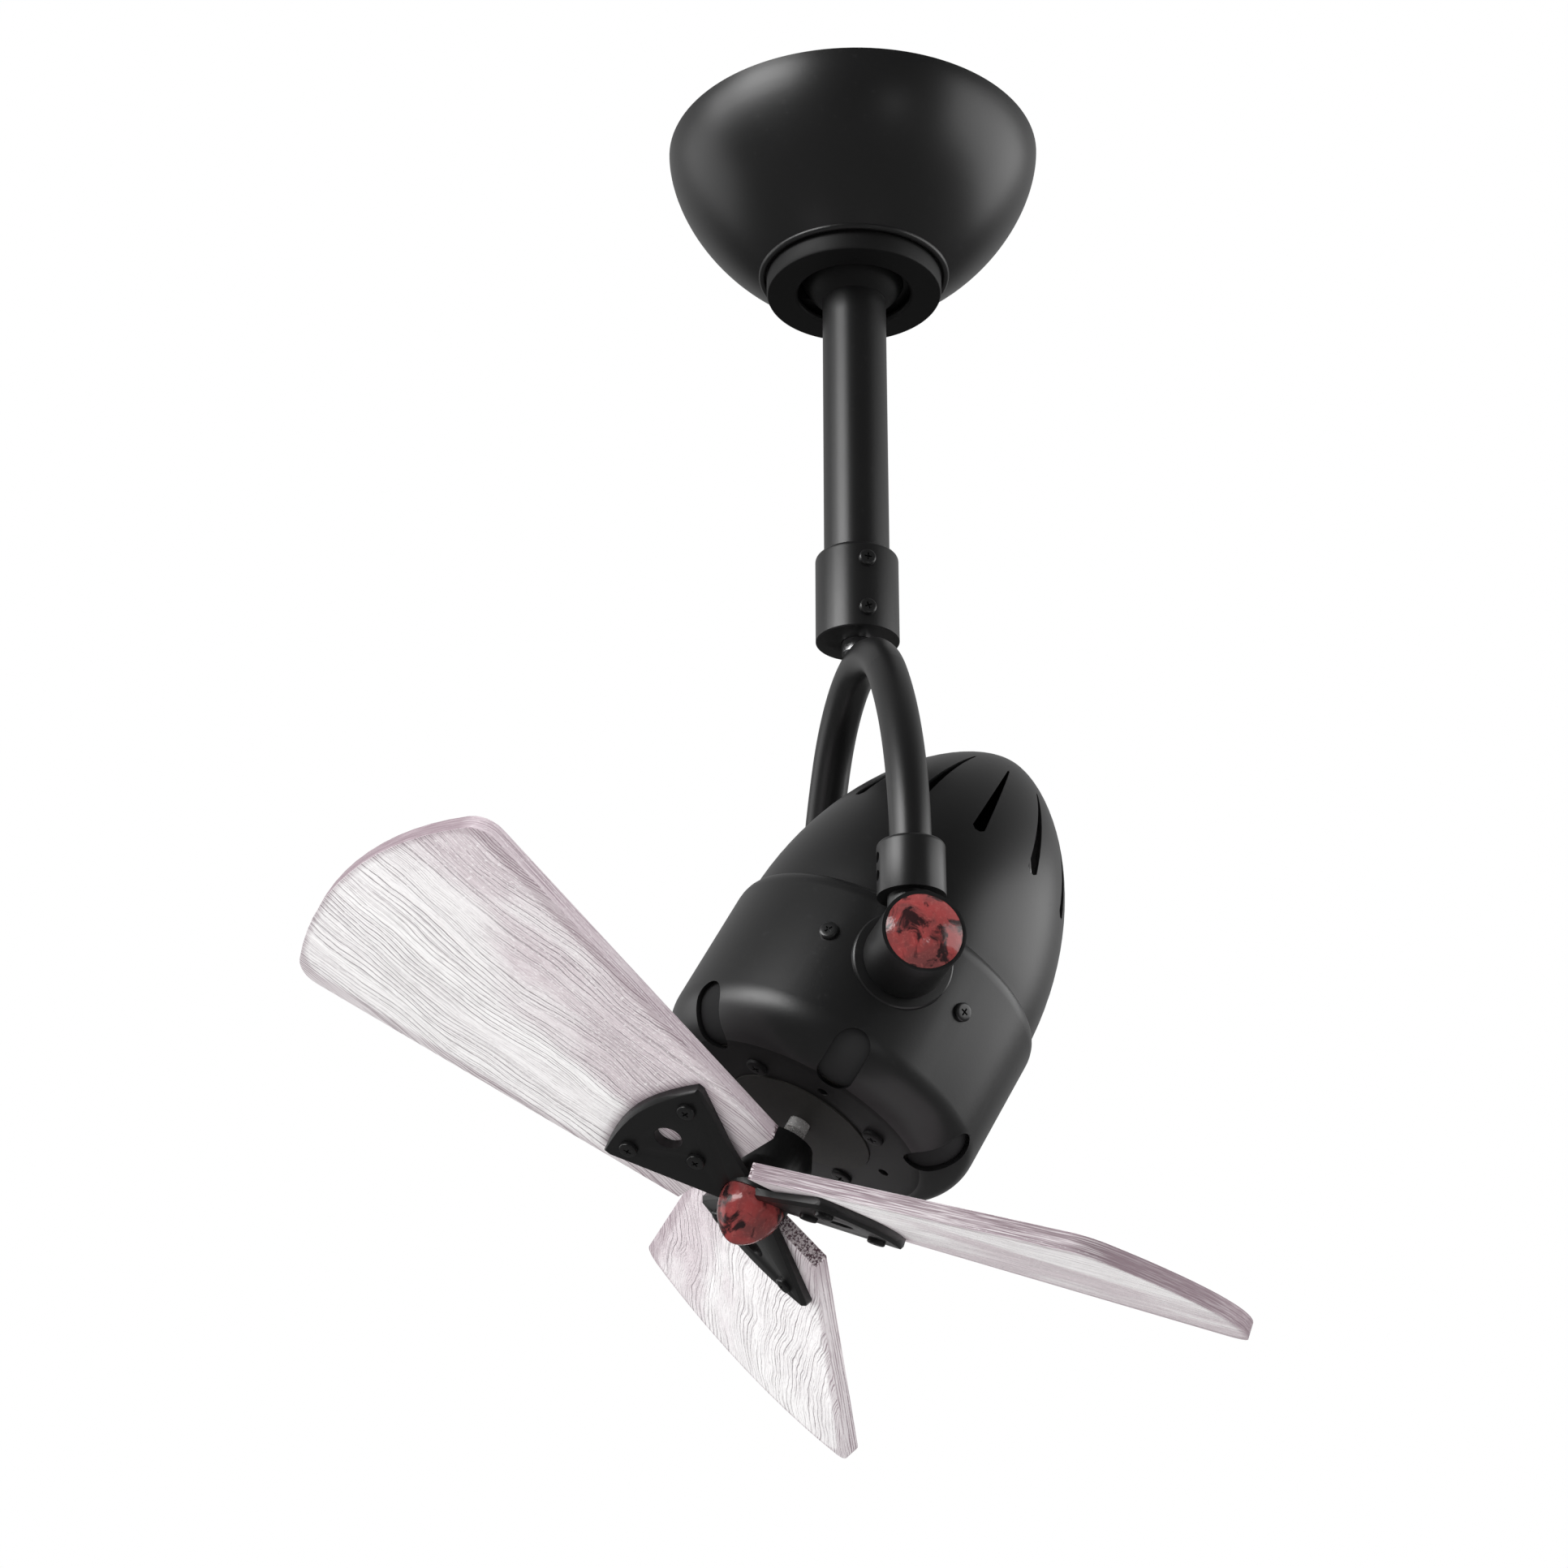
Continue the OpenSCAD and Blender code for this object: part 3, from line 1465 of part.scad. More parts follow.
// Outline of a blade: straight sides that widen to a bulging tip with round corners
function corner_arc(cx, cy, r, from, to, steps) = [
    for (i = [0:steps])
        let (turn = from + (to - from) * i / steps) [cx + r * cos(turn), cy + r * sin(turn)]
];
module blade_outline() {
    half_root = root_w / 2;
    half_tip = tip_w / 2;
    side_end = sweep_r - tip_bulge - 6;
    flare = atan2(half_tip - half_root, side_end - root_r);
    tip_r = (half_tip * half_tip + tip_bulge * tip_bulge) / (2 * tip_bulge);
    corner_x = side_end;
    corner_y = half_tip - tip_corner_r;
    tip_turn = asin(corner_y / (tip_r - tip_corner_r));
    centre_x = corner_x - (tip_r - tip_corner_r) * cos(tip_turn);
    tip_x = centre_x + tip_r;
    upper = corner_arc(corner_x, corner_y, tip_corner_r, 90 + flare, tip_turn, 6);
    tip = corner_arc(centre_x, 0, tip_r, tip_turn, -tip_turn, 14);
    lower = corner_arc(corner_x, -corner_y, tip_corner_r, -tip_turn, -90 - flare, 6);
    translate([sweep_r - tip_x, blade_shift])
        polygon(concat(
            [[root_r + tip_x - sweep_r, -half_root], [root_r + tip_x - sweep_r, half_root]],
            upper, tip, lower));
}

module blade(i) {
    in_blade(i)
        difference() {
            translate([0, 0, -blade_thick / 2])
                linear_extrude(blade_thick)
                    blade_outline();
            for (p = arm_screws())
                translate([p[0], p[1], -blade_thick / 2 - 1])
                    cylinder(h = 6, r = arm_screw_r);
        }
}

module blade_1() {
    color([0.8, 0.77, 0.76])
        blade(0);
}

module blade_2() {
    color([0.8, 0.77, 0.76])
        blade(1);
}

module blade_3() {
    color([0.8, 0.77, 0.76])
        blade(2);
}

module blade_screws() {
    color([0.2, 0.2, 0.21])
        for (i = [0:blade_count - 1])
            in_blade(i)
                for (p = arm_screws())
                    translate([p[0], p[1], -blade_thick / 2 - arm_thick])
                        rotate([180, 0, 0])
                            pan_screw(arm_screw_head_r, arm_screw_head_h, arm_screw_r,
                                arm_thick + 5);
}

module hub_nut() {
    color("silver")
        in_head()
            translate([0, 0, arm_front_z - hub_nut_h])
                difference() {
                    cylinder(h = hub_nut_h, d = hub_nut_across / cos(30), $fn = 6);
                    translate([0, 0, -1])
                        cylinder(h = hub_nut_h + 2, r = shaft_r);
                }
}

// Hub cap: a hollow pointed dome on the front of the arms' disc
module hub_cap() {
    steps = 16;
    straight = 3;
    cap_wall = 1.3;
    outer = [for (i = [0:steps])
        let (k = sin(90 * i / steps)) [hub_cap_r * dome(k, 1.7, 1.7),
            -straight - (hub_cap_l - straight) * k]];
    inner = [for (i = [steps:-1:0])
        let (k = sin(90 * i / steps)) [(hub_cap_r - cap_wall) * dome(k, 1.7, 1.7),
            -straight - (hub_cap_l - straight - cap_wall) * k]];
    color([0.45, 0.08, 0.08])
        in_head()
            translate([0, 0, arm_front_z])
                rotate_extrude()
                    polygon(concat([[hub_cap_r, 0]], outer, inner, [[hub_cap_r - cap_wall, 0]]));
}

ceiling_bracket();
canopy();
canopy_screws();
canopy_ring();
hanger_ball();
ball_pin();
ball_set_screw();
downrod();
coupling_collar();
collar_screws();
oscillation_motor();
gearmotor_mount();
output_shaft();
swivel_housing();
swivel_outer_races();
swivel_balls();
swivel_inner_races();
bearing_spacer();
swivel_clip();
swivel_shaft();
rod_lead();
yoke();
socket_right();
socket_left();
socket_screws();
pivot_cap_right();
pivot_cap_left();
yoke_lead();
pivot_bolts();
pivot_washers();
pivot_springs();
friction_washers();
pivot_plates();
front_housing();
rear_cover();
housing_screws();
front_screws();
motor_front_bell();
motor_rear_bell();
motor_through_bolts();
stator_core();
stator_windings();
motor_outer_races();
motor_balls();
motor_inner_races();
rotor_core();
rotor_end_rings();
motor_shaft();
run_capacitor();
head_lead();
hub();
blade_arms();
blade_1();
blade_2();
blade_3();
blade_screws();
hub_nut();
hub_cap();
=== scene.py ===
"""Looks for a small oscillating ceiling fan, laid out as an add-on and run as a script."""
import json
import math

import bpy
import numpy as np
from bpy.props import FloatProperty, FloatVectorProperty, IntProperty, PointerProperty
from mathutils import Matrix, Vector

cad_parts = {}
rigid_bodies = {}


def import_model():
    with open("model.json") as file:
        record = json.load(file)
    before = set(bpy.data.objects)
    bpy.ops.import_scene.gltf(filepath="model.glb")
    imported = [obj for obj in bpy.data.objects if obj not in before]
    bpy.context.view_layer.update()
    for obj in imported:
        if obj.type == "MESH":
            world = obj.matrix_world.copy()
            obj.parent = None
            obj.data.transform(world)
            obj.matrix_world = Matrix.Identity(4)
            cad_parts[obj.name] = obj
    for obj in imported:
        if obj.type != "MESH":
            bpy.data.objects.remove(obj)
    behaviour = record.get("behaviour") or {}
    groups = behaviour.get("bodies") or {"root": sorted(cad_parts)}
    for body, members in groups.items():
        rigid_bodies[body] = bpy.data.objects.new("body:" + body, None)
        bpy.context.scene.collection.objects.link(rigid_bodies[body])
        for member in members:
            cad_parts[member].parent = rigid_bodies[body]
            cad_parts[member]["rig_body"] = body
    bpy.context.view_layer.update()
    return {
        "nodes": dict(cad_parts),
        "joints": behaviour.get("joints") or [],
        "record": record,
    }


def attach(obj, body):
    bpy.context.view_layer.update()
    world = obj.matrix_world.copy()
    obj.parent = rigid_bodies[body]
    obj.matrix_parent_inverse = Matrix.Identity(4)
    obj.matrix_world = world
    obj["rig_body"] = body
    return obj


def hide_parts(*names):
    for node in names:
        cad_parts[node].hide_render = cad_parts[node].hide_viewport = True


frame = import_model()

bl_info = {
    "name": "Oscillating ceiling fan",
    "version": (1, 0, 0),
    "blender": (4, 5, 0),
    "location": "3D View > Sidebar > Ceiling fan",
    "description": "Dresses the packed ceiling fan with rounded pieces and procedural finishes",
    "category": "Object",
}

NODES = frame["nodes"]
JOINTS = {joint["name"]: joint for joint in frame["joints"]}
SLOTS = {row["node"]: row["material_slot"] for row in frame["record"]["subparts"]}
MM = 0.001

# The head's own frame: -Z runs along the motor shaft, from the rotor joint's point to the hub
PIVOT = Vector(JOINTS["rotor_spin"]["pos_m"])
HEAD_AXIS = Vector(JOINTS["rotor_spin"]["axis"]).normalized()
HEAD_TILT = math.atan2(-HEAD_AXIS.y, -HEAD_AXIS.z)
HEAD = Matrix.Translation(PIVOT) @ Matrix.Rotation(-HEAD_TILT, 4, "X")

# The camera stands 76 degrees round the rod's axis from the front
VIEW_TURN = Matrix.Rotation(math.radians(76), 4, "Z")


# Settings

class FanPaintSettings(bpy.types.PropertyGroup):
    """Black paint on the metal parts"""
    colour: FloatVectorProperty(
        name="Paint colour", description="Base colour of the satin black paint",
        subtype="COLOR", size=3, min=0, max=1, default=(0.0042, 0.0042, 0.0044))
    trim_colour: FloatVectorProperty(
        name="Trim colour", description="Base colour of the matte ring, ball and screws",
        subtype="COLOR", size=3, min=0, max=1, default=(0.003, 0.003, 0.0031))
    roughness: FloatProperty(
        name="Paint roughness", description="Roughness of the satin paint",
        subtype="FACTOR", min=0, max=1, default=0.36)
    peel: FloatProperty(
        name="Orange peel", description="Height of the paint's fine orange peel",
        subtype="DISTANCE", min=0, max=0.001, default=0.000012)
    edge_round: FloatProperty(
        name="Edge radius", description="Radius of the pressed and cast edges",
        subtype="DISTANCE", min=0, max=0.002, default=0.00045)


class FanWoodSettings(bpy.types.PropertyGroup):
    """Whitewashed wood of the blades"""
    wash: FloatVectorProperty(
        name="Whitewash", description="Colour of the pale wood between the grain lines",
        subtype="COLOR", size=3, min=0, max=1, default=(0.91, 0.89, 0.9))
    shade: FloatVectorProperty(
        name="Shade", description="Colour of the pinkish grey bands",
        subtype="COLOR", size=3, min=0, max=1, default=(0.64, 0.55, 0.59))
    grain: FloatVectorProperty(
        name="Grain", description="Colour of the fine dark grain lines",
        subtype="COLOR", size=3, min=0, max=1, default=(0.2, 0.165, 0.185))
    edge_round: FloatProperty(
        name="Blade edge radius", description="Radius of the blades' sanded edges",
        subtype="DISTANCE", min=0, max=0.003, default=0.0009)


class FanStudioSettings(bpy.types.PropertyGroup):
    """Camera, floor and lamps"""
    focal_length: FloatProperty(
        name="Focal length", description="Focal length of the camera, in millimetres",
        unit="CAMERA", min=10, max=300, default=74.48347)
    floor_height: FloatProperty(
        name="Floor height", description="Height of the floor under the ceiling",
        subtype="DISTANCE", min=-4, max=-1, default=-1.6)
    ambient: FloatProperty(
        name="Ambient light", description="Strength of the even light from all round",
        min=0, max=2, default=0.92)
    key_power: FloatProperty(
        name="Key lamp", description="Power of the soft box at the left, beside the camera",
        unit="POWER", min=0, max=200, default=24)
    fill_power: FloatProperty(
        name="Fill lamp", description="Power of the wide soft box at the right",
        unit="POWER", min=0, max=200, default=17)
    glint_power: FloatProperty(
        name="Glint lamp", description="Power of the small lamp that gives the caps their glint",
        unit="POWER", min=0, max=20, default=0.9)
    side_power: FloatProperty(
        name="Side lamp", description="Power of the weak panel at the left",
        unit="POWER", min=0, max=200, default=4)


class FanScrewSettings(bpy.types.PropertyGroup):
    """Screw heads"""
    recess_width: FloatProperty(
        name="Recess width", description="Width of the cross recess as a share of the head's radius",
        subtype="FACTOR", min=0.05, max=0.5, default=0.24)
    sides: IntProperty(
        name="Sides", description="Number of sides of a screw head",
        min=12, max=64, default=32)


# Shader tools

class Val:
    """A shader value that Python operators can add Math nodes to"""

    def __init__(self, finish, socket):
        self.finish = finish
        self.socket = socket

    def _maths(self, operation, *values):
        return self.finish.node("Math", {"operation": operation}, dict(enumerate(values)))

    def __add__(self, other):
        return self._maths("ADD", self, other)

    __radd__ = __add__

    def __mul__(self, other):
        return self._maths("MULTIPLY", self, other)

    __rmul__ = __mul__

    def __sub__(self, other):
        return self._maths("SUBTRACT", self, other)

    def __rsub__(self, other):
        return self._maths("SUBTRACT", other, self)

    def __truediv__(self, other):
        return self._maths("DIVIDE", self, other)

    def __rtruediv__(self, other):
        return self._maths("DIVIDE", other, self)

    def __pow__(self, other):
        return self._maths("POWER", self, other)

    def __abs__(self):
        return self._maths("ABSOLUTE", self)


class Finish:
    """The nodes of a material or of the world"""

    def __init__(self, name, world=False):
        self.holder = (bpy.data.worlds if world else bpy.data.materials).new(name)
        self.holder.use_nodes = True
        self.tree = self.holder.node_tree
        self.tree.nodes.clear()

    def node(self, kind, settings=None, values=None, out=0):
        """Adds a node from its type, its settings and the values or links of its sockets"""
        made = self.tree.nodes.new("ShaderNode" + kind)
        for key, value in (settings or {}).items():
            setattr(made, key, value)
        for key, value in (values or {}).items():
            socket = made.inputs[key]
            if isinstance(value, Val):
                self.tree.links.new(value.socket, socket)
            elif socket.type == "RGBA":
                socket.default_value = (*value[:3], 1)
            else:
                socket.default_value = value
        return Val(self, made.outputs[out])

    def output(self, kind, shader):
        """Ends the nodes with a shader, and gives the finished material or world"""
        end = self.tree.nodes.new("ShaderNodeOutput" + kind)
        self.tree.links.new(shader.socket, end.inputs["Surface"])
        return self.holder

    def surface(self, values):
        """Ends the nodes with a Principled shader"""
        return self.output("Material", self.node("BsdfPrincipled", None, values))

    def place(self, scale=(1, 1, 1), turn=(0, 0, 0)):
        """Object coordinates in metres, turned and stretched"""
        return self.node("Mapping", {"vector_type": "POINT"}, {
            "Vector": self.node("TexCoord", out="Object"), "Rotation": turn, "Scale": scale})

    def attribute(self, layer, out):
        """A value or vector that the mesh itself carries"""
        return self.node("Attribute", {"attribute_type": "GEOMETRY", "attribute_name": layer}, out=out)

    def split(self, vector):
        """The three parts of a vector"""
        outputs = self.node("SeparateXYZ", None, {0: vector}).socket.node.outputs
        return [Val(self, output) for output in outputs]

    def join(self, x, y, z):
        """A vector from its three parts"""
        return self.node("CombineXYZ", None, {0: x, 1: y, 2: z})

    def noise(self, vector, scale, detail=2, rough=0.5, distortion=0.0):
        """Noise from 0 to 1, with about scale blobs to a metre"""
        return self.node("TexNoise", {"noise_dimensions": "3D"}, {
            "Vector": vector, "Scale": scale, "Detail": detail, "Roughness": rough,
            "Distortion": distortion})

    def streaks(self, place, rates, detail=2, rough=0.5):
        """Noise with its own fineness, per metre, along each of three directions"""
        stretched = [part * rate for part, rate in zip(place, rates)]
        return self.noise(self.join(*stretched), 1, detail, rough)

    def smooth(self, value, low, high, start=0.0, end=1.0):
        """Goes softly from start to end while the value goes from low to high"""
        return self.node("MapRange", {"interpolation_type": "SMOOTHSTEP"}, {
            "Value": value, "From Min": low, "From Max": high, "To Min": start, "To Max": end})

    def biggest(self, one, two):
        """The larger of two values"""
        return self.node("Math", {"operation": "MAXIMUM"}, {0: one, 1: two})

    def sine(self, angle):
        """The sine of an angle in radians"""
        return self.node("Math", {"operation": "SINE"}, {0: angle})

    def mix(self, factor, one, two):
        """Mixes two colours: sockets 6 and 7 of a Mix node take them, and output 2 gives the mix"""
        return self.node("Mix", {"data_type": "RGBA"}, {0: factor, 6: one, 7: two}, 2)

    def bump(self, height, distance, strength=1.0):
        """A relief as deep as the distance, in metres"""
        return self.node("Bump", None, {"Height": height, "Distance": distance, "Strength": strength})


def tinted(colour, share):
    """A colour made lighter or darker by a share"""
    return tuple(share * part for part in colour)


def painted(name, colour, roughness, peel, specular=0.5):
    """Sprayed paint: slow clouds of gloss, fine orange peel and a little dust"""
    f = Finish(name)
    cloud = f.noise(f.place(), 22, 3)
    dust = f.smooth(f.noise(f.place(), 420, 2), 0.62, 0.8)
    base = f.mix(cloud * 0.5, colour, tinted(colour, 1.7))
    base = f.mix(dust * 0.06, base, (0.05, 0.05, 0.05))
    return f.surface({"Base Color": base, "Roughness": (cloud - 0.5) * 0.07 + roughness + dust * 0.05,
                      "Specular IOR Level": specular,
                      "Normal": f.bump(f.noise(f.place(), 950, 2), peel)})


def turned_metal(name, colour, roughness, stretch=(1, 1, 1), scale=700, height=0.000006, metallic=1.0):
    """Bare metal with fine tool marks along one direction"""
    f = Finish(name)
    marks = f.noise(f.place(scale=stretch), scale, 3, 0.6)
    patch = f.noise(f.place(), 35, 3)
    base = f.mix(f.smooth(patch, 0.35, 0.75) * 0.35, colour, tinted(colour, 0.72))
    base = f.mix(marks * 0.25, base, tinted(colour, 0.8))
    return f.surface({"Base Color": base, "Metallic": metallic,
                      "Roughness": (marks - 0.5) * 0.16 + roughness, "Normal": f.bump(marks, height)})


def moulded(name, colour, roughness, grain=600, height=0.00001):
    """Moulded plastic, rubber or fibre with a fine grain"""
    f = Finish(name)
    speck = f.noise(f.place(), grain, 3)
    cloud = f.noise(f.place(), 40, 2)
    base = f.mix(cloud * 0.6, tinted(colour, 0.8), tinted(colour, 1.25))
    return f.surface({"Base Color": base, "Roughness": (speck - 0.5) * 0.15 + roughness,
                      "Normal": f.bump(speck, height)})


def red_glass(name):
    """Dark red caps with brown clouds and black specks, and an uneven gloss surface"""
    f = Finish(name)
    point = f.place()
    red, brown = (0.235, 0.04, 0.04), (0.13, 0.036, 0.036)
    pale_vein, black = (0.3, 0.08, 0.072), (0.008, 0.005, 0.006)
    cloud = f.noise(point, 95, 3, 0.55, 0.5)
    blotch = f.noise(point, 125, 4, 0.6, 0.8)
    vein = f.noise(point, 700, 3, 0.6, 0.6)
    colour = f.mix(f.smooth(cloud, 0.36, 0.64), red, brown)
    colour = f.mix(f.smooth(vein, 0.5, 0.72) * 0.45, colour, pale_vein)
    dark = f.smooth(blotch, 0.5, 0.62)
    colour = f.mix(dark * 0.93, colour, black)
    uneven = f.noise(point, 260, 2, 0.5)
    return f.surface({"Base Color": colour, "Roughness": dark * 0.1 + 0.13, "IOR": 1.5,
                      "Specular IOR Level": 0.36, "Normal": f.bump(uneven, 0.00018)})


def wound_copper(name):
    """Varnished copper wire, laid side by side, with painted shade in the grooves between the wires"""
    f = Finish(name)
    wires = f.node("TexWave", {"wave_type": "BANDS", "bands_direction": "DIAGONAL"}, {
        "Vector": f.place(), "Scale": 260, "Distortion": 1.2, "Detail": 1, "Detail Scale": 1.5})
    # Painted shade: the copper darkens in the grooves between the wires
    colour = f.mix(wires, (0.2, 0.06, 0.018), (0.62, 0.24, 0.08))
    return f.surface({"Base Color": colour, "Metallic": 0.85, "Roughness": (1 - wires) * 0.2 + 0.28,
                      "Normal": f.bump(wires, 0.00025), "Coat Weight": 0.5})


def laminated(name):
    """Stacked steel sheets with a varnish film, square to the motor shaft"""
    f = Finish(name)
    turn = Matrix.Rotation(HEAD_TILT, 3, "X").to_euler()
    height = f.split(f.place(turn=tuple(turn)))[2]
    sheets = f.node("TexWave", {"wave_type": "BANDS", "bands_direction": "Z"}, {
        "Vector": f.join(0.0, 0.0, height), "Scale": 320, "Distortion": 0.0})
    patch = f.noise(f.place(), 60, 3)
    colour = f.mix(patch, (0.16, 0.16, 0.17), (0.34, 0.34, 0.35))
    colour = f.mix((1 - sheets) * 0.6, colour, (0.03, 0.03, 0.03))
    return f.surface({"Base Color": colour, "Metallic": 0.8, "Roughness": patch * 0.2 + 0.32,
                      "Normal": f.bump(sheets, 0.00012)})


def motor_disc(name):
    """Warm dark grey sprayed face of the motor, seen through the nose hole"""
    f = Finish(name)
    cast = f.noise(f.place(), 1100, 3, 0.6)
    cloud = f.noise(f.place(), 45, 3)
    colour = f.mix(cloud, (0.02, 0.0195, 0.0175), (0.0255, 0.0245, 0.022))
    colour = f.mix(f.smooth(cast, 0.62, 0.75) * 0.2, colour, (0.05, 0.048, 0.044))
    return f.surface({"Base Color": colour, "Roughness": cast * 0.12 + 0.55,
                      "Specular IOR Level": 0.2, "Normal": f.bump(cast, 0.000008)})


def vent_lining(name):
    """Flat dark grey lining behind the vents"""
    f = Finish(name)
    grain = f.noise(f.place(), 900, 2)
    cloud = f.noise(f.place(), 60, 2)
    colour = f.mix(cloud, (0.017, 0.017, 0.0175), (0.022, 0.022, 0.0225))
    return f.surface({"Base Color": colour, "Roughness": grain * 0.2 + 0.7,
                      "Specular IOR Level": 0.05, "Normal": f.bump(grain, 0.00002)})


def pale_floor(name):
    """Plain pale floor with a fine grit, dark where the fan's gloss reflects it"""
    f = Finish(name)
    cloud = f.noise(f.place(), 1.5, 4)
    grit = f.noise(f.place(), 260, 2)
    colour = f.mix(cloud, (0.79, 0.785, 0.775), (0.84, 0.838, 0.83))
    colour = f.mix(f.node("LightPath", out="Is Glossy Ray"), colour, (0.12, 0.12, 0.12))
    return f.surface({"Base Color": colour, "Roughness": grit * 0.2 + 0.6,
                      "Normal": f.bump(grit, 0.0003, 0.3)})


def whitewashed_wood(name, wood, plate):
    """Brushed whitewash over thin wavy grain lines that run along the blade"""
    f = Finish(name)
    x, y, z = f.split(f.attribute("grain_place", "Vector"))
    along, across, through = f.split(f.attribute("blade_place", "Vector"))
    edge = f.attribute("edge_share", "Fac")

    # How far slow and quick noise bends the grain, which runs along the side faces too
    sway_by, wobble_by, ripple_by = 24 * MM, 4.6 * MM, 0.6 * MM
    lane = y + (z - y) * edge
    flat = (x, lane, z)
    sway = f.streaks(flat, (10, 13, 4)) - 0.5
    wobble = f.streaks(flat, (34, 60, 20)) - 0.5
    ripples = f.streaks(flat, (120, 190, 60)) - 0.5
    calm = 1 - edge * 0.93
    bend = lane + (sway * sway_by + wobble * wobble_by + ripples * ripple_by) * calm
    bent = (x, bend, z)

    # Bold lines about 2.2 mm apart and thin ones 1 mm apart, each broken up, in radians per metre
    bold_rate, thin_rate = 2900, 6200
    spread = f.streaks(bent, (4, 55, 8), 1)
    bold = f.smooth(f.sine(bend * bold_rate + spread * 14), 0.74, 0.98)
    bold = bold * f.smooth(f.streaks(bent, (15, 260, 40)), 0.38, 0.6)
    drift = f.streaks(bent, (26, 400, 60))
    thin = f.smooth(f.sine(bend * thin_rate + drift * 9), 0.25, 0.96)
    thin = thin * f.smooth(f.streaks(bent, (30, 330, 60)), 0.36, 0.62)

    # Brush marks, flecks of paint, pinkish grey bands that grow towards one long edge of each blade,
    # and the palest zones
    brush = f.streaks(bent, (150, 3000, 300), 2, 0.6)
    fleck = f.streaks(flat, (700, 1900, 700), 1)
    zone = f.smooth(f.streaks(bent, (9, 23, 6), 3) * 0.8 + across * 3.4, 0.34, 0.5)
    pale = f.smooth(f.streaks(bent, (11, 70, 9)), 0.52, 0.66)

    # A darker rim, by the distance in from the blade's rounded outline
    side = along * plate["taper"] + plate["half_at_zero"] - abs(across - plate["shift"])
    reach = (across - plate["shift"]) / plate["tip_half"]
    tip = plate["tip"] - plate["bulge"] * reach * reach - along
    corner = plate["corner"]
    near = corner - (f.biggest(corner - side, 0.0) ** 2 + f.biggest(corner - tip, 0.0) ** 2) ** 0.5
    rim = f.smooth(near + (brush - 0.5) * 0.002, 0.0028, 0.0)

    # The side faces: dark streaks at the tip, and painted shade on the trailing side, darker towards
    # the upper edge and as strong as the blade's own share
    trailing_side_shade = f.attribute("side_shade_share", "Fac") * edge * f.smooth(across, 0.012, -0.008)
    end_face = edge * f.smooth(side - tip, -0.002, 0.006)
    streak = f.smooth(f.streaks((x, through, y), (60, 2600, 90), 3), 0.36, 0.62)
    upper = f.smooth(through, -0.0045, 0.001)

    # End grain on the root's face, and painted shadow round the blade arm
    root_face = edge * f.smooth(along, 0.0175, 0.0158)
    pores = f.smooth(f.streaks((x, y, z), (300, 1300, 1300), 3, 0.6), 0.42, 0.58)
    arc = (across - plate["arm_shift"]) / plate["arm_half"]
    bolt = along - (plate["arm_side"] + plate["arm_rise"] * (1 - abs(arc) ** 1.8))
    patch = f.smooth(bolt + (brush - 0.5) * 0.003, 0.0045, 0.0) * f.smooth(abs(arc), 1.16, 0.98)

    colour = f.mix(zone * 0.85, wood.wash, wood.shade)
    for share, tone in (
            (pale * (1 - zone) * 0.7, (0.97, 0.96, 0.965)),
            (f.smooth(brush, 0.44, 0.7) * 0.25, (0.98, 0.97, 0.975)),
            (f.smooth(brush, 0.48, 0.3) * 0.4, wood.grain),
            (thin * 0.46, wood.grain),
            (bold * 0.82, wood.grain),
            (f.smooth(fleck, 0.56, 0.7) * 0.55, (1.0, 0.98, 0.99)),
            (rim * (thin * 0.5 + 0.38), (0.27, 0.195, 0.23)),
            # Painted shadow on the wood along the arm's curved edge
            (patch * (thin * 0.3 + 0.45), (0.27, 0.19, 0.225)),
            # Painted shade, broken by dark streaks, on the trailing side faces
            (trailing_side_shade * (streak * 0.5 + upper * 0.34 + 0.1), (0.15, 0.105, 0.122)),
            (end_face * (streak * 0.3 + 0.6), (0.22, 0.16, 0.185)),
            (root_face, f.mix(pores, (0.62, 0.56, 0.58), (0.09, 0.05, 0.065)))):
        colour = f.mix(share, colour, tone)
    relief = (1 - thin) * 0.4 + (1 - bold) * 0.8 + brush * 0.2
    return f.surface({"Base Color": colour, "Roughness": thin * 0.1 + 0.55,
                      "Specular IOR Level": 0.3, "Normal": f.bump(relief, 0.00012, 0.7)})


FINISHES = {}


def finish_of(slot):
    """The material of a slot of the record, made when it is first asked for"""
    if slot in FINISHES:
        return FINISHES[slot]
    paint = bpy.context.scene.fan_paint
    along_z = (1, 1, 0.05)
    makers = {
        "black_metal": lambda n: painted(n, tuple(paint.colour), paint.roughness, paint.peel),
        "black_trim": lambda n: painted(n, tuple(paint.trim_colour), 0.55, paint.peel, 0.25),
        "black_screw": lambda n: painted(n, (0.006, 0.006, 0.0062), 0.3, 0.000006),
        "bracket_steel": lambda n: painted(n, tuple(paint.trim_colour), 0.5, paint.peel, 0.3),
        "bright_steel": lambda n: turned_metal(n, (0.62, 0.62, 0.63), 0.2, (1, 1, 0.08)),
        "dark_steel": lambda n: turned_metal(n, (0.16, 0.16, 0.17), 0.36),
        "gearmotor_can": lambda n: turned_metal(n, (0.45, 0.45, 0.46), 0.3, along_z),
        "sleeve_alu": lambda n: turned_metal(n, (0.55, 0.55, 0.56), 0.34, along_z),
        "bell_alu": motor_disc,
        "core_steel": laminated,
        "cage_alu": lambda n: turned_metal(n, (0.6, 0.61, 0.63), 0.42),
        "copper_wire": wound_copper,
        "capacitor_case": lambda n: moulded(n, (0.02, 0.02, 0.022), 0.45),
        "lead_cover": lambda n: moulded(n, (0.012, 0.012, 0.012), 0.5, 900),
        "friction_fibre": lambda n: moulded(n, (0.03, 0.027, 0.024), 0.75, 500, 0.00005),
        "red_cap": red_glass,
    }
    FINISHES[slot] = makers[slot](slot)
    return FINISHES[slot]


# Modelling tools

def only(piece):
    """Selects one piece and nothing else"""
    bpy.ops.object.select_all(action="DESELECT")
    piece.select_set(True)
    bpy.context.view_layer.objects.active = piece


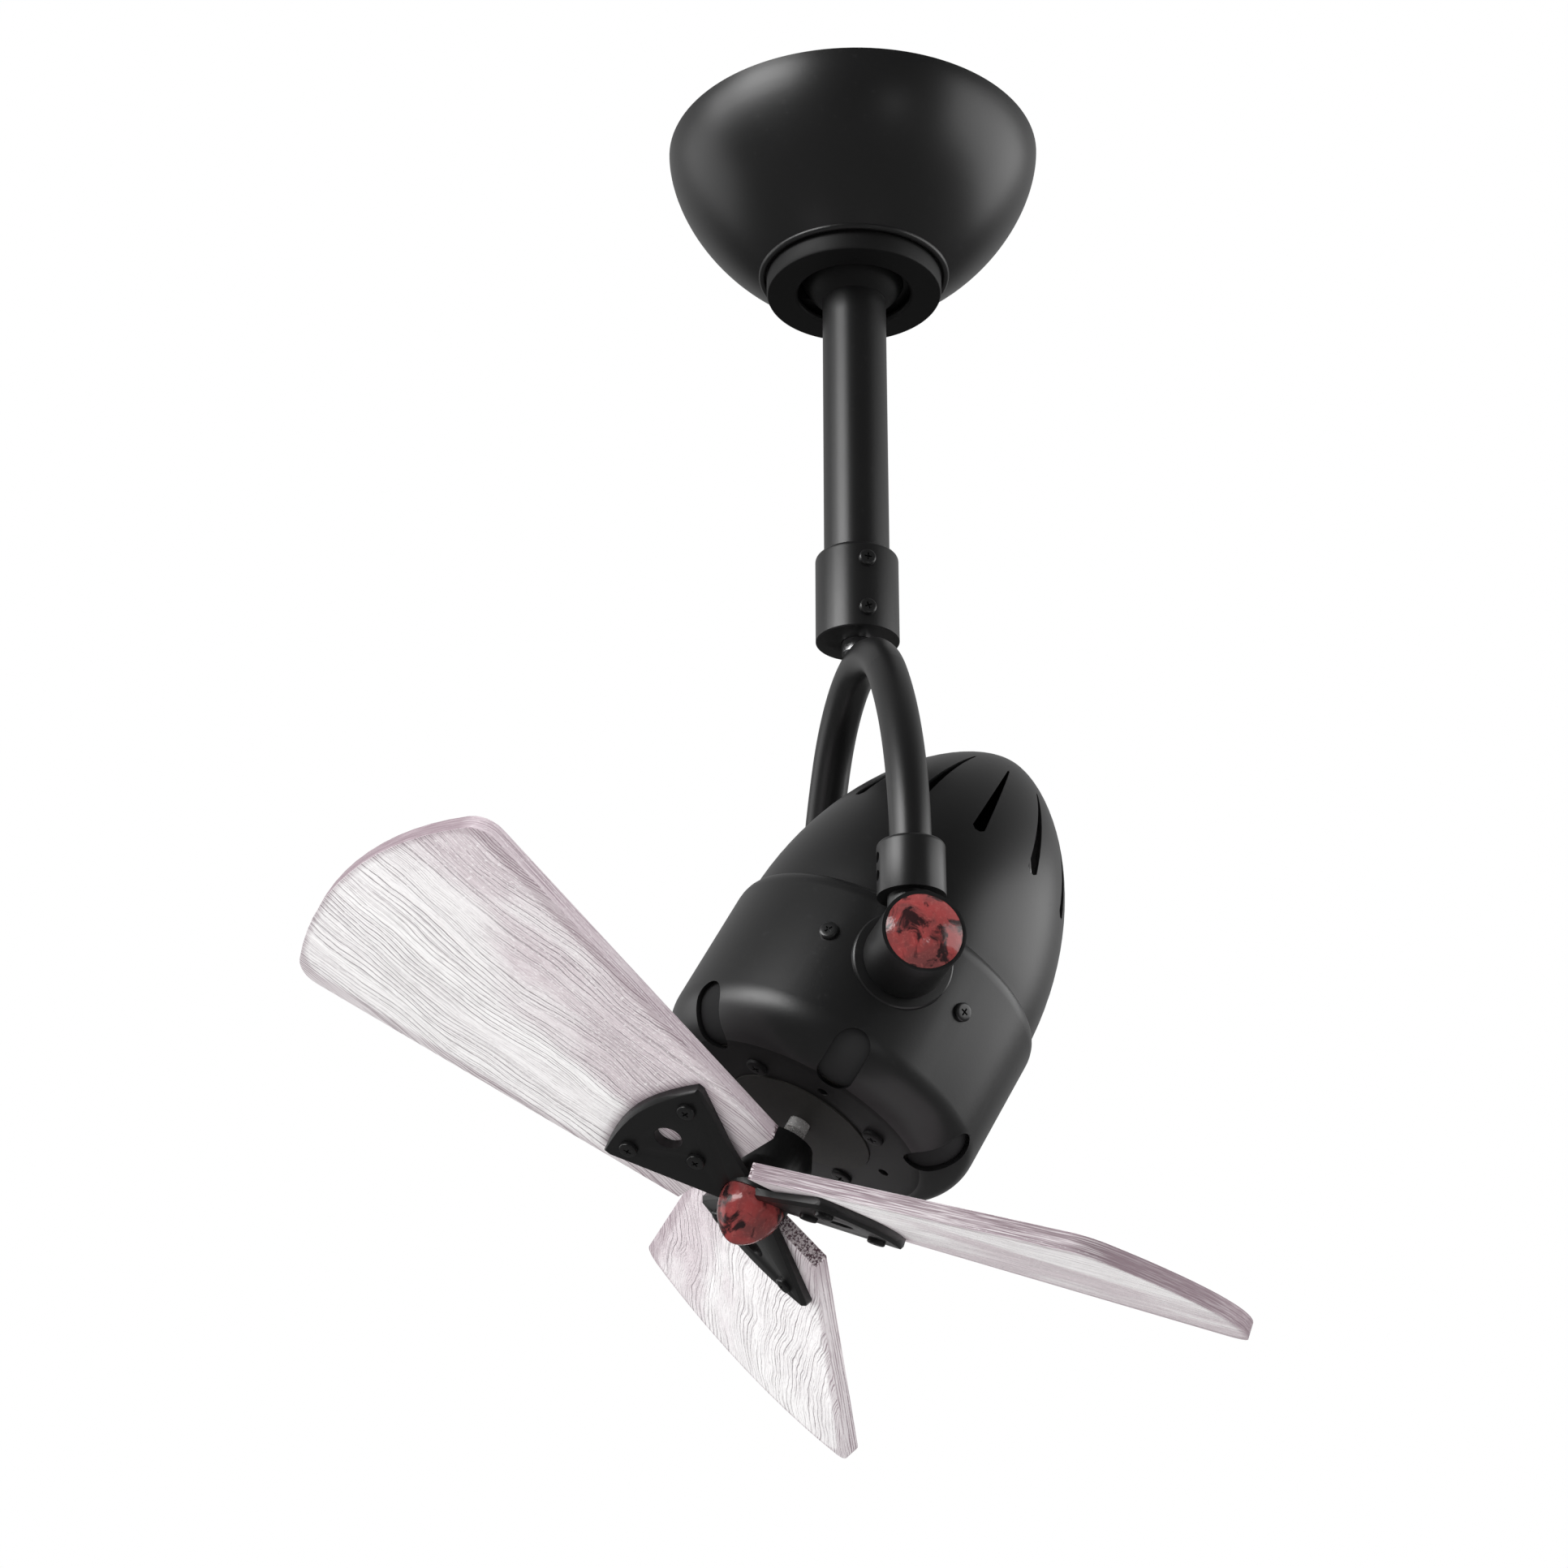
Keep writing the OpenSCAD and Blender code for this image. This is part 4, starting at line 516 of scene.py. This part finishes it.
def new_object(name, data):
    """An object for a mesh, a lamp or a camera, in the scene and at the origin"""
    thing = bpy.data.objects.new(name, data)
    bpy.context.scene.collection.objects.link(thing)
    return thing


def place_in_mesh(piece):
    """Moves a piece's place into its mesh, so that its object sits at the origin"""
    only(piece)
    bpy.ops.object.transform_apply(location=True, rotation=True, scale=True)


def select_faces(piece, wanted):
    """Leaves a piece in edit mode, with only the wanted faces selected"""
    bpy.ops.object.mode_set(mode="EDIT")
    bpy.ops.mesh.select_all(action="DESELECT")
    bpy.ops.object.mode_set(mode="OBJECT")
    for face in piece.data.polygons:
        face.select = wanted(face)
    bpy.ops.object.mode_set(mode="EDIT")


def apply_modifier(piece, name, kind, **settings):
    """Adds a modifier with its settings, and applies it"""
    only(piece)
    modifier = piece.modifiers.new(name, kind)
    for key, value in settings.items():
        setattr(modifier, key, value)
    bpy.ops.object.modifier_apply(modifier=name)


def round_edges(piece, radius, segments=3, angle=32):
    """Rounds the edges that are sharper than an angle, in degrees"""
    apply_modifier(piece, "Rounded edges", "BEVEL", width=radius, segments=segments,
                   limit_method="ANGLE", angle_limit=math.radians(angle),
                   offset_type="OFFSET", use_clamp_overlap=True, miter_outer="MITER_ARC")


def copy_of(node, name):
    """A merged copy of a CAD node's mesh, to be rounded and smoothed"""
    piece = new_object(name, NODES[node].data.copy())
    only(piece)
    bpy.ops.object.mode_set(mode="EDIT")
    bpy.ops.mesh.select_all(action="SELECT")
    bpy.ops.mesh.remove_doubles(threshold=0.000002)
    bpy.ops.mesh.dissolve_limited(angle_limit=math.radians(0.4))
    bpy.ops.object.mode_set(mode="OBJECT")
    if piece.data.has_custom_normals:
        bpy.ops.mesh.customdata_custom_splitnormals_clear()
    return piece


def settle(piece, node, angle=34, material=None):
    """Gives a piece its finish and makes it stand for its CAD node"""
    slot = SLOTS[node]
    piece.data.materials.clear()
    piece.data.materials.append(material or finish_of(slot))
    only(piece)
    bpy.ops.object.shade_smooth_by_angle(angle=math.radians(angle))
    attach(piece, NODES[node]["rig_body"])
    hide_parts(node)
    return piece


def rounded_copy(node, name, radius, segments=3, smooth=34):
    """A CAD node's shape with its edges rounded, standing for the node"""
    piece = copy_of(node, name)
    if radius > 0:
        round_edges(piece, radius, segments)
    return settle(piece, node, smooth)


def turned_normals(piece, axis=Matrix()):
    """Gives the round faces of a turned piece the normals of a truly round surface"""
    nearest_r, smallest, off_round = 2 * MM, 0.4 * MM * MM, 0.08
    nearly = math.cos(math.radians(32))
    mesh = piece.data
    back = axis.inverted()
    turn, home = back.to_3x3(), axis.to_3x3()
    places = [back @ vertex.co for vertex in mesh.vertices]
    slopes = {}
    round_faces = []
    for face in mesh.polygons:
        middle = back @ face.center
        out = Vector((middle.x, middle.y))
        if out.length < nearest_r or face.area < smallest:
            continue
        out.normalize()
        facing = turn @ face.normal
        if abs(facing.y * out.x - facing.x * out.y) > off_round:
            continue
        slope = Vector((facing.x * out.x + facing.y * out.y, facing.z)).normalized()
        round_faces.append((face, slope))
        for vertex in face.vertices:
            slopes.setdefault(vertex, []).append(slope)
    normals = [Vector((0, 0, 0))] * len(mesh.loops)
    for face, slope in round_faces:
        for corner in face.loop_indices:
            vertex = mesh.loops[corner].vertex_index
            alike = [other for other in slopes[vertex] if other.dot(slope) > nearly]
            mean = sum(alike, Vector((0, 0))).normalized()
            around = Vector((places[vertex].x, places[vertex].y)).normalized()
            normals[corner] = home @ Vector((around.x * mean.x, around.y * mean.x, mean.y))
    mesh.normals_split_custom_set(normals)


def loose_parts(node):
    """The corners of each separate solid of a CAD node, with its face normals and areas"""
    mesh = NODES[node].data
    points = np.array([v.co for v in mesh.vertices])
    snap = 0.000004
    keys = np.round(points / snap).astype(int)
    _, same = np.unique(keys, axis=0, return_inverse=True)
    same = same.reshape(-1)
    parent = list(range(same.max() + 1))

    def root(i):
        while parent[i] != i:
            parent[i] = parent[parent[i]]
            i = parent[i]
        return i

    for face in mesh.polygons:
        first, *rest = [same[v] for v in face.vertices]
        for other in rest:
            parent[root(other)] = root(first)
    groups = {}
    for face in mesh.polygons:
        groups.setdefault(root(same[face.vertices[0]]), []).append(face)
    for key in sorted(groups):
        faces = groups[key]
        corners = points[sorted({v for face in faces for v in face.vertices})]
        normals = np.array([face.normal[:] for face in faces])
        areas = np.array([face.area for face in faces])
        yield corners, normals, areas


def screw_seats(node):
    """Where each screw of a node sits: the matrix of its head's top, and its sizes"""
    for corners, normals, areas in loose_parts(node):
        spread, vectors = np.linalg.eigh((normals * areas[:, None]).T @ normals)
        alone = 0 if spread[1] - spread[0] > spread[2] - spread[1] else 2
        axis = vectors[:, alone]
        middle = corners.mean(0)
        offset = corners - middle
        height = offset @ axis
        across = offset - np.outer(height, axis)
        # The middle of the box of the corners is on the axis, whatever their number
        side = np.cross(axis, [1, 0, 0] if abs(axis[0]) < 0.9 else [0, 1, 0])
        side /= np.linalg.norm(side)
        other = np.cross(axis, side)
        for way in (side, other):
            reach = across @ way
            middle = middle + way * (reach.max() + reach.min()) / 2
        offset = corners - middle
        height = offset @ axis
        radius = np.linalg.norm(offset - np.outer(height, axis), axis=1)
        wide = height[radius > radius.max() * 0.97]
        # The axis points out of the head
        if abs(wide.mean() - height.max()) > abs(wide.mean() - height.min()):
            axis, height, wide = -axis, -height, -wide
        top = height.max()
        yield {
            "matrix": Matrix.Translation(Vector(middle + axis * top))
            @ Vector(axis).to_track_quat("Z", "X").to_matrix().to_4x4(),
            "head_r": float(radius.max()),
            "head_h": float(top - wide.min()),
            "shank_r": float(radius[height < height.min() + 0.3 * MM].max()),
            "length": float(top - height.min()),
        }


def cross_screw(head_r, head_h, shank_r, length, sides, recess):
    """A pan head screw with a cross recess, its top at the origin and +Z out of its head"""
    # The head's straight lower half, and the rings of its dome as shares of its radius and height
    dome = ((1.0, 0.5), (0.985, 0.7), (0.93, 0.84), (0.84, 0.93), (0.7, 0.98), (0.5, 1.0))
    bpy.ops.object.select_all(action="DESELECT")
    bpy.ops.mesh.primitive_cylinder_add(
        vertices=sides, radius=head_r, depth=head_h * 0.5, end_fill_type="NGON",
        location=(0, 0, -head_h * 0.75))
    screw = bpy.context.active_object
    place_in_mesh(screw)
    select_faces(screw, lambda face: face.normal.z > 0.9)
    for (before_r, before_z), (ring_r, ring_z) in zip(dome, dome[1:]):
        bpy.ops.mesh.extrude_region_move(
            TRANSFORM_OT_translate={"value": (0, 0, (ring_z - before_z) * head_h)})
        bpy.ops.transform.resize(value=(ring_r / before_r, ring_r / before_r, 1))
    select_faces(screw, lambda face: face.normal.z < -0.9)
    bpy.ops.mesh.inset(thickness=head_r - shank_r)
    bpy.ops.mesh.extrude_region_move(
        TRANSFORM_OT_translate={"value": (0, 0, -(length - head_h))})
    bpy.ops.object.mode_set(mode="OBJECT")
    depth, narrowing = head_h * 0.55, 0.55
    arms = []
    for turn in (0, math.pi / 2):
        bpy.ops.object.select_all(action="DESELECT")
        bpy.ops.mesh.primitive_cube_add(size=1, location=(0, 0, 0), rotation=(0, 0, turn))
        arm = bpy.context.active_object
        arm.scale = (head_r * 1.16, head_r * recess, depth * 2)
        place_in_mesh(arm)
        for corner in arm.data.vertices:
            if corner.co.z < 0:
                corner.co.x *= narrowing
                corner.co.y *= narrowing
        arms.append(arm)
    for arm in arms:
        apply_modifier(screw, "Cross recess", "BOOLEAN", operation="DIFFERENCE",
                       solver="EXACT", object=arm)
    for arm in arms:
        bpy.data.objects.remove(arm)
    return screw


def repeated(master, name, matrices):
    """Copies of one modelled piece at several places, joined into one piece"""
    copies = []
    for matrix in matrices:
        part = new_object(name, master.data.copy())
        part.data.transform(matrix)
        copies.append(part)
    only(copies[0])
    for part in copies[1:]:
        part.select_set(True)
    bpy.ops.object.join()
    bpy.data.objects.remove(master)
    return copies[0]


# Operators

class FAN_OT_finishes(bpy.types.Operator):
    """Gives every CAD part but the blades its procedural finish"""
    bl_idname = "fan.finishes"
    bl_label = "Carried over parts"
    bl_options = {"REGISTER", "UNDO"}

    def execute(self, context):
        for node, thing in NODES.items():
            if SLOTS[node] == "blade_wood":
                continue
            thing.data.materials.clear()
            thing.data.materials.append(finish_of(SLOTS[node]))
        return {"FINISHED"}


class FAN_OT_canopy(bpy.types.Operator):
    """Makes the canopy, its trim ring, the hanger ball and the hanging bracket"""
    bl_idname = "fan.canopy"
    bl_label = "Canopy, ring, ball and bracket"
    bl_options = {"REGISTER", "UNDO"}

    def execute(self, context):
        turned_normals(rounded_copy("canopy", "canopy_dome", 0.0, smooth=40))
        turned_normals(rounded_copy("canopy_ring", "canopy_trim_ring", 0.3 * MM))
        rounded_copy("hanger_ball", "rod_ball", 0.0)
        rounded_copy("ceiling_bracket", "hanging_bracket", 0.3 * MM)
        return {"FINISHED"}


class FAN_OT_rod(bpy.types.Operator):
    """Makes the downrod and the coupling collar"""
    bl_idname = "fan.rod"
    bl_label = "Downrod and collar"
    bl_options = {"REGISTER", "UNDO"}

    def execute(self, context):
        edge = context.scene.fan_paint.edge_round
        turned_normals(rounded_copy("downrod", "down_rod", edge))
        turned_normals(rounded_copy("coupling_collar", "rod_collar", edge))
        return {"FINISHED"}


class FAN_OT_yoke(bpy.types.Operator):
    """Makes the bent yoke and its two tilt sockets"""
    bl_idname = "fan.yoke"
    bl_label = "Yoke and sockets"
    bl_options = {"REGISTER", "UNDO"}

    def execute(self, context):
        edge = context.scene.fan_paint.edge_round
        rounded_copy("yoke", "bent_yoke", 0.0, smooth=40)
        for side in ("right", "left"):
            rounded_copy("socket_" + side, "tilt_socket_" + side, edge, smooth=38)
        return {"FINISHED"}


class FAN_OT_head(bpy.types.Operator):
    """Makes the front housing, the lining behind its vents and the slit tail cover"""
    bl_idname = "fan.head"
    bl_label = "Head shells"
    bl_options = {"REGISTER", "UNDO"}

    def lining(self):
        """A thin band spun behind the shoulder's inner wall, which shows through the vents"""
        edge_r, width, height, level = 44.2 * MM, 14.2 * MM, 15.1 * MM, -30 * MM
        lip, band, wall, rise = 1.6 * MM, 6 * MM, 0.45 * MM, 0.35 * MM
        outside = [(edge_r - lip, level - height)]
        for degrees in range(90, -1, -6):
            angle = math.radians(degrees)
            outside.append((edge_r + width * math.cos(angle), level - height * math.sin(angle)))
        outside.append((edge_r + width, level + band))
        inside = [(r - wall, z + rise) for r, z in reversed(outside)]
        loop = outside + inside
        profile = bpy.data.meshes.new("vent_lining")
        profile.from_pydata([(r, 0, z) for r, z in loop],
                            [(i, (i + 1) % len(loop)) for i in range(len(loop))], [])
        piece = new_object("vent_lining", profile)
        only(piece)
        bpy.ops.object.mode_set(mode="EDIT")
        bpy.ops.mesh.select_all(action="SELECT")
        bpy.ops.mesh.spin(steps=96, angle=math.tau, center=(0, 0, 0), axis=(0, 0, 1))
        bpy.ops.mesh.select_all(action="SELECT")
        bpy.ops.mesh.remove_doubles(threshold=0.000005)
        bpy.ops.mesh.normals_make_consistent(inside=False)
        bpy.ops.object.mode_set(mode="OBJECT")
        piece.data.transform(HEAD)
        piece.data.materials.append(vent_lining("vent_lining"))
        bpy.ops.object.shade_smooth_by_angle(angle=math.radians(30))
        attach(piece, NODES["front_housing"]["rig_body"])

    def execute(self, context):
        shell = rounded_copy("front_housing", "front_shell", 0.35 * MM, 2)
        turned_normals(shell, HEAD)
        # The flat nose face is matte
        nose_level = 46 * MM
        shell.data.materials.append(finish_of("black_trim"))
        for face in shell.data.polygons:
            flat = face.normal.dot(HEAD_AXIS) > 0.985
            face.material_index = int(flat and (face.center - PIVOT).dot(HEAD_AXIS) > nose_level)
        turned_normals(rounded_copy("rear_cover", "tail_shell", 0.25 * MM, 2), HEAD)
        self.lining()
        return {"FINISHED"}


class FAN_OT_hub(bpy.types.Operator):
    """Makes the hub, the three blade arms and the splined shaft behind the hub"""
    bl_idname = "fan.hub"
    bl_label = "Hub, arms and shaft"
    bl_options = {"REGISTER", "UNDO"}

    sides = 32
    shaft_r, shaft_low, shaft_high = 4 * MM, -87.4 * MM, 17.5 * MM
    spline_low, spline_high = -58 * MM, -51.5 * MM
    groove_in, groove_deep = 0.1 * MM, 0.6 * MM

    def grooved(self, face):
        """Whether a face of the shaft is one of the spline's grooves: every second one"""
        turn = math.atan2(face.center.y, face.center.x) / math.tau
        even = int(round(turn * self.sides - 0.5)) % 2 == 0
        return even and self.spline_low < face.center.z < self.spline_high

    def shaft(self):
        """The motor shaft with fine splines between the hub and the head"""
        bpy.ops.object.select_all(action="DESELECT")
        bpy.ops.mesh.primitive_cylinder_add(
            vertices=self.sides, radius=self.shaft_r, depth=self.shaft_high - self.shaft_low,
            location=(0, 0, (self.shaft_high + self.shaft_low) / 2))
        piece = bpy.context.active_object
        piece.name = "splined_shaft"
        place_in_mesh(piece)
        bpy.ops.object.mode_set(mode="EDIT")
        for level in (self.spline_low, self.spline_high):
            bpy.ops.mesh.select_all(action="SELECT")
            bpy.ops.mesh.bisect(plane_co=(0, 0, level), plane_no=(0, 0, 1))
        select_faces(piece, self.grooved)
        bpy.ops.mesh.inset(thickness=self.groove_in, depth=-self.groove_deep, use_individual=True)
        bpy.ops.object.mode_set(mode="OBJECT")
        piece.data.transform(HEAD)
        steel = turned_metal("splined_steel", (0.62, 0.61, 0.6), 0.26,
                             scale=900, height=0.000004, metallic=0.6)
        settle(piece, "motor_shaft", 30, steel)

    def execute(self, context):
        self.shaft()
        turned_normals(rounded_copy("hub", "fan_hub", 0.3 * MM), HEAD)
        rounded_copy("blade_arms", "three_blade_arms", context.scene.fan_paint.edge_round)
        return {"FINISHED"}


class FAN_OT_blades(bpy.types.Operator):
    """Makes the three wooden blades with sanded edges and grain along each blade"""
    bl_idname = "fan.blades"
    bl_label = "Blades"
    bl_options = {"REGISTER", "UNDO"}

    count = 3
    start, pitch = math.radians(48.6), math.radians(19)
    front, root, tip = 74.8 * MM, 15.2 * MM, 185.5 * MM
    root_width, tip_width = 56.3 * MM, 116.5 * MM

    def plate(self):
        """The outline of a blade and of the arm on it, which the wood's darker rim and painted shadow
        follow
        """
        taper = (self.tip_width - self.root_width) / 2 / (self.tip - self.root)
        return {
            "taper": taper, "half_at_zero": self.root_width / 2 - self.root * taper,
            "shift": -2.4 * MM, "tip_half": self.tip_width / 2, "tip": self.tip,
            "bulge": 15.6 * MM, "corner": 10 * MM,
            "arm_shift": -3.7 * MM, "arm_half": 28 * MM, "arm_side": 48.2 * MM, "arm_rise": 6.6 * MM,
        }

    def blade_frame(self, index):
        """A blade's own frame: X along it from the hub, Y across it and Z square to its large faces"""
        turn = self.start + index * math.tau / self.count
        return (HEAD @ Matrix.Rotation(turn, 4, "Z") @ Matrix.Translation((0, 0, -self.front))
                @ Matrix.Rotation(self.pitch, 4, "X"))

    def execute(self, context):
        wood = context.scene.fan_wood
        material = whitewashed_wood("blade_wood", wood, self.plate())
        for index in range(self.count):
            node = f"blade_{index + 1}"
            piece = copy_of(node, "wood_" + node)
            round_edges(piece, wood.edge_round, 4, 40)
            mesh = piece.data
            # Each blade's grain is cut from another place
            cut = np.array([0.31 * index + 0.05, 0.173 * index, 0.07 * index], np.float32)
            back = self.blade_frame(index).inverted()
            local = np.array([back @ v.co for v in mesh.vertices], np.float32)
            for name, values in (("blade_place", local), ("grain_place", local + cut)):
                layer = mesh.attributes.new(name, "FLOAT_VECTOR", "POINT")
                layer.data.foreach_set("vector", values.ravel())
            # 0 on the two large faces and 1 on the narrow ones round them
            front = (self.blade_frame(index).to_3x3() @ Vector((0, 0, 1))).normalized()
            layer = mesh.attributes.new("edge_share", "FLOAT", "CORNER")
            for face in mesh.polygons:
                share = 1 - min(1, abs(face.normal.dot(front)) / 0.75)
                for corner in face.loop_indices:
                    layer.data[corner].value = share
            # The first blade's side faces get the most painted shade
            layer = mesh.attributes.new("side_shade_share", "FLOAT", "POINT")
            layer.data.foreach_set("value", [1.0 if index == 0 else 0.25] * len(mesh.vertices))
            settle(piece, node, 40, material)
        return {"FINISHED"}


class FAN_OT_caps(bpy.types.Operator):
    """Makes the red caps on the hub and on both tilt sockets"""
    bl_idname = "fan.caps"
    bl_label = "Red caps"
    bl_options = {"REGISTER", "UNDO"}

    def execute(self, context):
        for node, name in (("hub_cap", "red_hub_cap"), ("pivot_cap_right", "red_cap_right"),
                           ("pivot_cap_left", "red_cap_left")):
            rounded_copy(node, name, 0.0, smooth=50)
        return {"FINISHED"}


class FAN_OT_screws(bpy.types.Operator):
    """Makes the cross head screws of the canopy, collar, sockets, head and blade arms"""
    bl_idname = "fan.screws"
    bl_label = "Screws"
    bl_options = {"REGISTER", "UNDO"}

    sets = ("canopy_screws", "collar_screws", "socket_screws", "housing_screws",
            "front_screws", "blade_screws")
    first_turn, next_turn = 0.4, 1.1

    def execute(self, context):
        settings = context.scene.fan_screws
        for node in self.sets:
            seats = list(screw_seats(node))
            first = seats[0]
            master = cross_screw(first["head_r"], first["head_h"], first["shank_r"],
                                 first["length"], settings.sides, settings.recess_width)
            places = [seat["matrix"] @ Matrix.Rotation(self.first_turn + self.next_turn * i, 4, "Z")
                      for i, seat in enumerate(seats)]
            piece = repeated(master, "cross_" + node, places)
            settle(piece, node, 30, finish_of("black_trim") if node == "front_screws" else None)
        return {"FINISHED"}


class FAN_OT_stage(bpy.types.Operator):
    """Makes the floor, the lamps, the white surroundings and the camera"""
    bl_idname = "fan.stage"
    bl_label = "Studio"
    bl_options = {"REGISTER", "UNDO"}

    target = Vector((0.03, 0, -0.25))

    def lamp(self, name, azimuth, height, distance, size, power):
        """A soft box, seen from the fan: 0 degrees is away from the camera and 90 is its right"""
        across, up = math.radians(azimuth), math.radians(height)
        way = Vector((math.sin(across) * math.cos(up), math.cos(across) * math.cos(up), math.sin(up)))
        light = bpy.data.lights.new(name, "AREA")
        light.shape = "RECTANGLE"
        light.size, light.size_y = size
        light.energy = power
        thing = new_object(name, light)
        turn = VIEW_TURN.to_3x3()
        thing.location = turn @ (self.target + distance * way)
        thing.rotation_euler = (turn @ -way).to_track_quat("-Z", "Y").to_euler()

    def surroundings(self, context):
        """White to the camera, even light on the fan, and for its gloss a glow away from the camera"""
        f = Finish("white_surroundings", world=True)
        context.scene.world = f.holder
        ray = f.node("TexCoord", out="Generated")
        away = VIEW_TURN.to_3x3() @ Vector((0, 1, 0))
        behind = f.node("VectorMath", {"operation": "DOT_PRODUCT"}, {0: ray, 1: tuple(away)}, "Value")
        above = f.split(ray)[2]
        mirror = f.smooth(behind, -0.6, 0.5, 0.04, 0.42) * f.smooth(above, -0.16, 0.12, 0.06, 1.0)
        glossy, clear, seen = [f.node("LightPath", out=f"Is {kind} Ray")
                               for kind in ("Glossy", "Transmission", "Camera")]
        mirrored = f.biggest(glossy, clear)
        strength = (1 - mirrored) * context.scene.fan_studio.ambient + mirrored * mirror
        strength = (1 - seen) * strength + seen
        f.output("World", f.node("Background", None, {"Color": (1, 1, 1), "Strength": strength}))

    def camera(self, context):
        """The photograph's camera, below the fan and looking up at it"""
        back, below = 1.11421, 0.76845
        aside, upward, roll = math.radians(1.45), math.radians(23.75), math.radians(-0.02)
        view = bpy.data.cameras.new("camera")
        view.sensor_width = 36
        view.lens = context.scene.fan_studio.focal_length
        view.shift_y = -0.00188
        view.clip_start, view.clip_end = 0.01, 30
        camera = new_object("camera", view)
        camera.matrix_world = (
            VIEW_TURN @ Matrix.Translation((0, -back, -below)) @ Matrix.Rotation(aside, 4, "Z")
            @ Matrix.Rotation(math.pi / 2 + upward, 4, "X") @ Matrix.Rotation(roll, 4, "Z"))
        context.scene.camera = camera
        context.scene.view_settings.view_transform = "Standard"

    def execute(self, context):
        studio = context.scene.fan_studio
        bpy.ops.object.select_all(action="DESELECT")
        bpy.ops.mesh.primitive_plane_add(size=9, location=(0, 0, studio.floor_height))
        floor = context.active_object
        floor.name = "pale_floor"
        place_in_mesh(floor)
        floor.data.materials.append(pale_floor("pale_floor"))
        self.lamp("key_lamp", -131, 23, 1.9, (1.05, 0.7), studio.key_power)
        self.lamp("edge_lamp", -104, 20, 1.8, (0.75, 0.5), studio.key_power * 0.25)
        self.lamp("fill_lamp", 88, 8, 1.6, (2.1, 1.05), studio.fill_power)
        self.lamp("side_lamp", -76, 5, 1.6, (0.9, 1.1), studio.side_power)
        self.lamp("glint_lamp", 155, -8, 2.0, (0.17, 0.1), studio.glint_power)
        self.surroundings(context)
        self.camera(context)
        return {"FINISHED"}


OPERATORS = (FAN_OT_finishes, FAN_OT_canopy, FAN_OT_rod, FAN_OT_yoke, FAN_OT_head, FAN_OT_hub,
             FAN_OT_blades, FAN_OT_caps, FAN_OT_screws, FAN_OT_stage)

SETTINGS = {"fan_paint": FanPaintSettings, "fan_wood": FanWoodSettings,
            "fan_studio": FanStudioSettings, "fan_screws": FanScrewSettings}


class FAN_PT_panel(bpy.types.Panel):
    """Lists the fan's steps and settings in the sidebar"""
    bl_idname = "FAN_PT_panel"
    bl_label = "Ceiling fan"
    bl_space_type = "VIEW_3D"
    bl_region_type = "UI"
    bl_category = "Ceiling fan"

    def draw(self, context):
        for operator in OPERATORS:
            self.layout.operator(operator.bl_idname)
        for holder in SETTINGS:
            group = getattr(context.scene, holder)
            box = self.layout.box()
            for name in group.__annotations__:
                box.prop(group, name)


def register():
    for group in SETTINGS.values():
        bpy.utils.register_class(group)
    for name, group in SETTINGS.items():
        setattr(bpy.types.Scene, name, PointerProperty(type=group))
    for operator in OPERATORS:
        bpy.utils.register_class(operator)
    bpy.utils.register_class(FAN_PT_panel)


def unregister():
    bpy.utils.unregister_class(FAN_PT_panel)
    for operator in reversed(OPERATORS):
        bpy.utils.unregister_class(operator)
    for name, group in SETTINGS.items():
        delattr(bpy.types.Scene, name)
        bpy.utils.unregister_class(group)


def main():
    register()
    for operator in OPERATORS:
        group, name = operator.bl_idname.split(".")
        getattr(getattr(bpy.ops, group), name)()


if __name__ == "__main__":
    main()
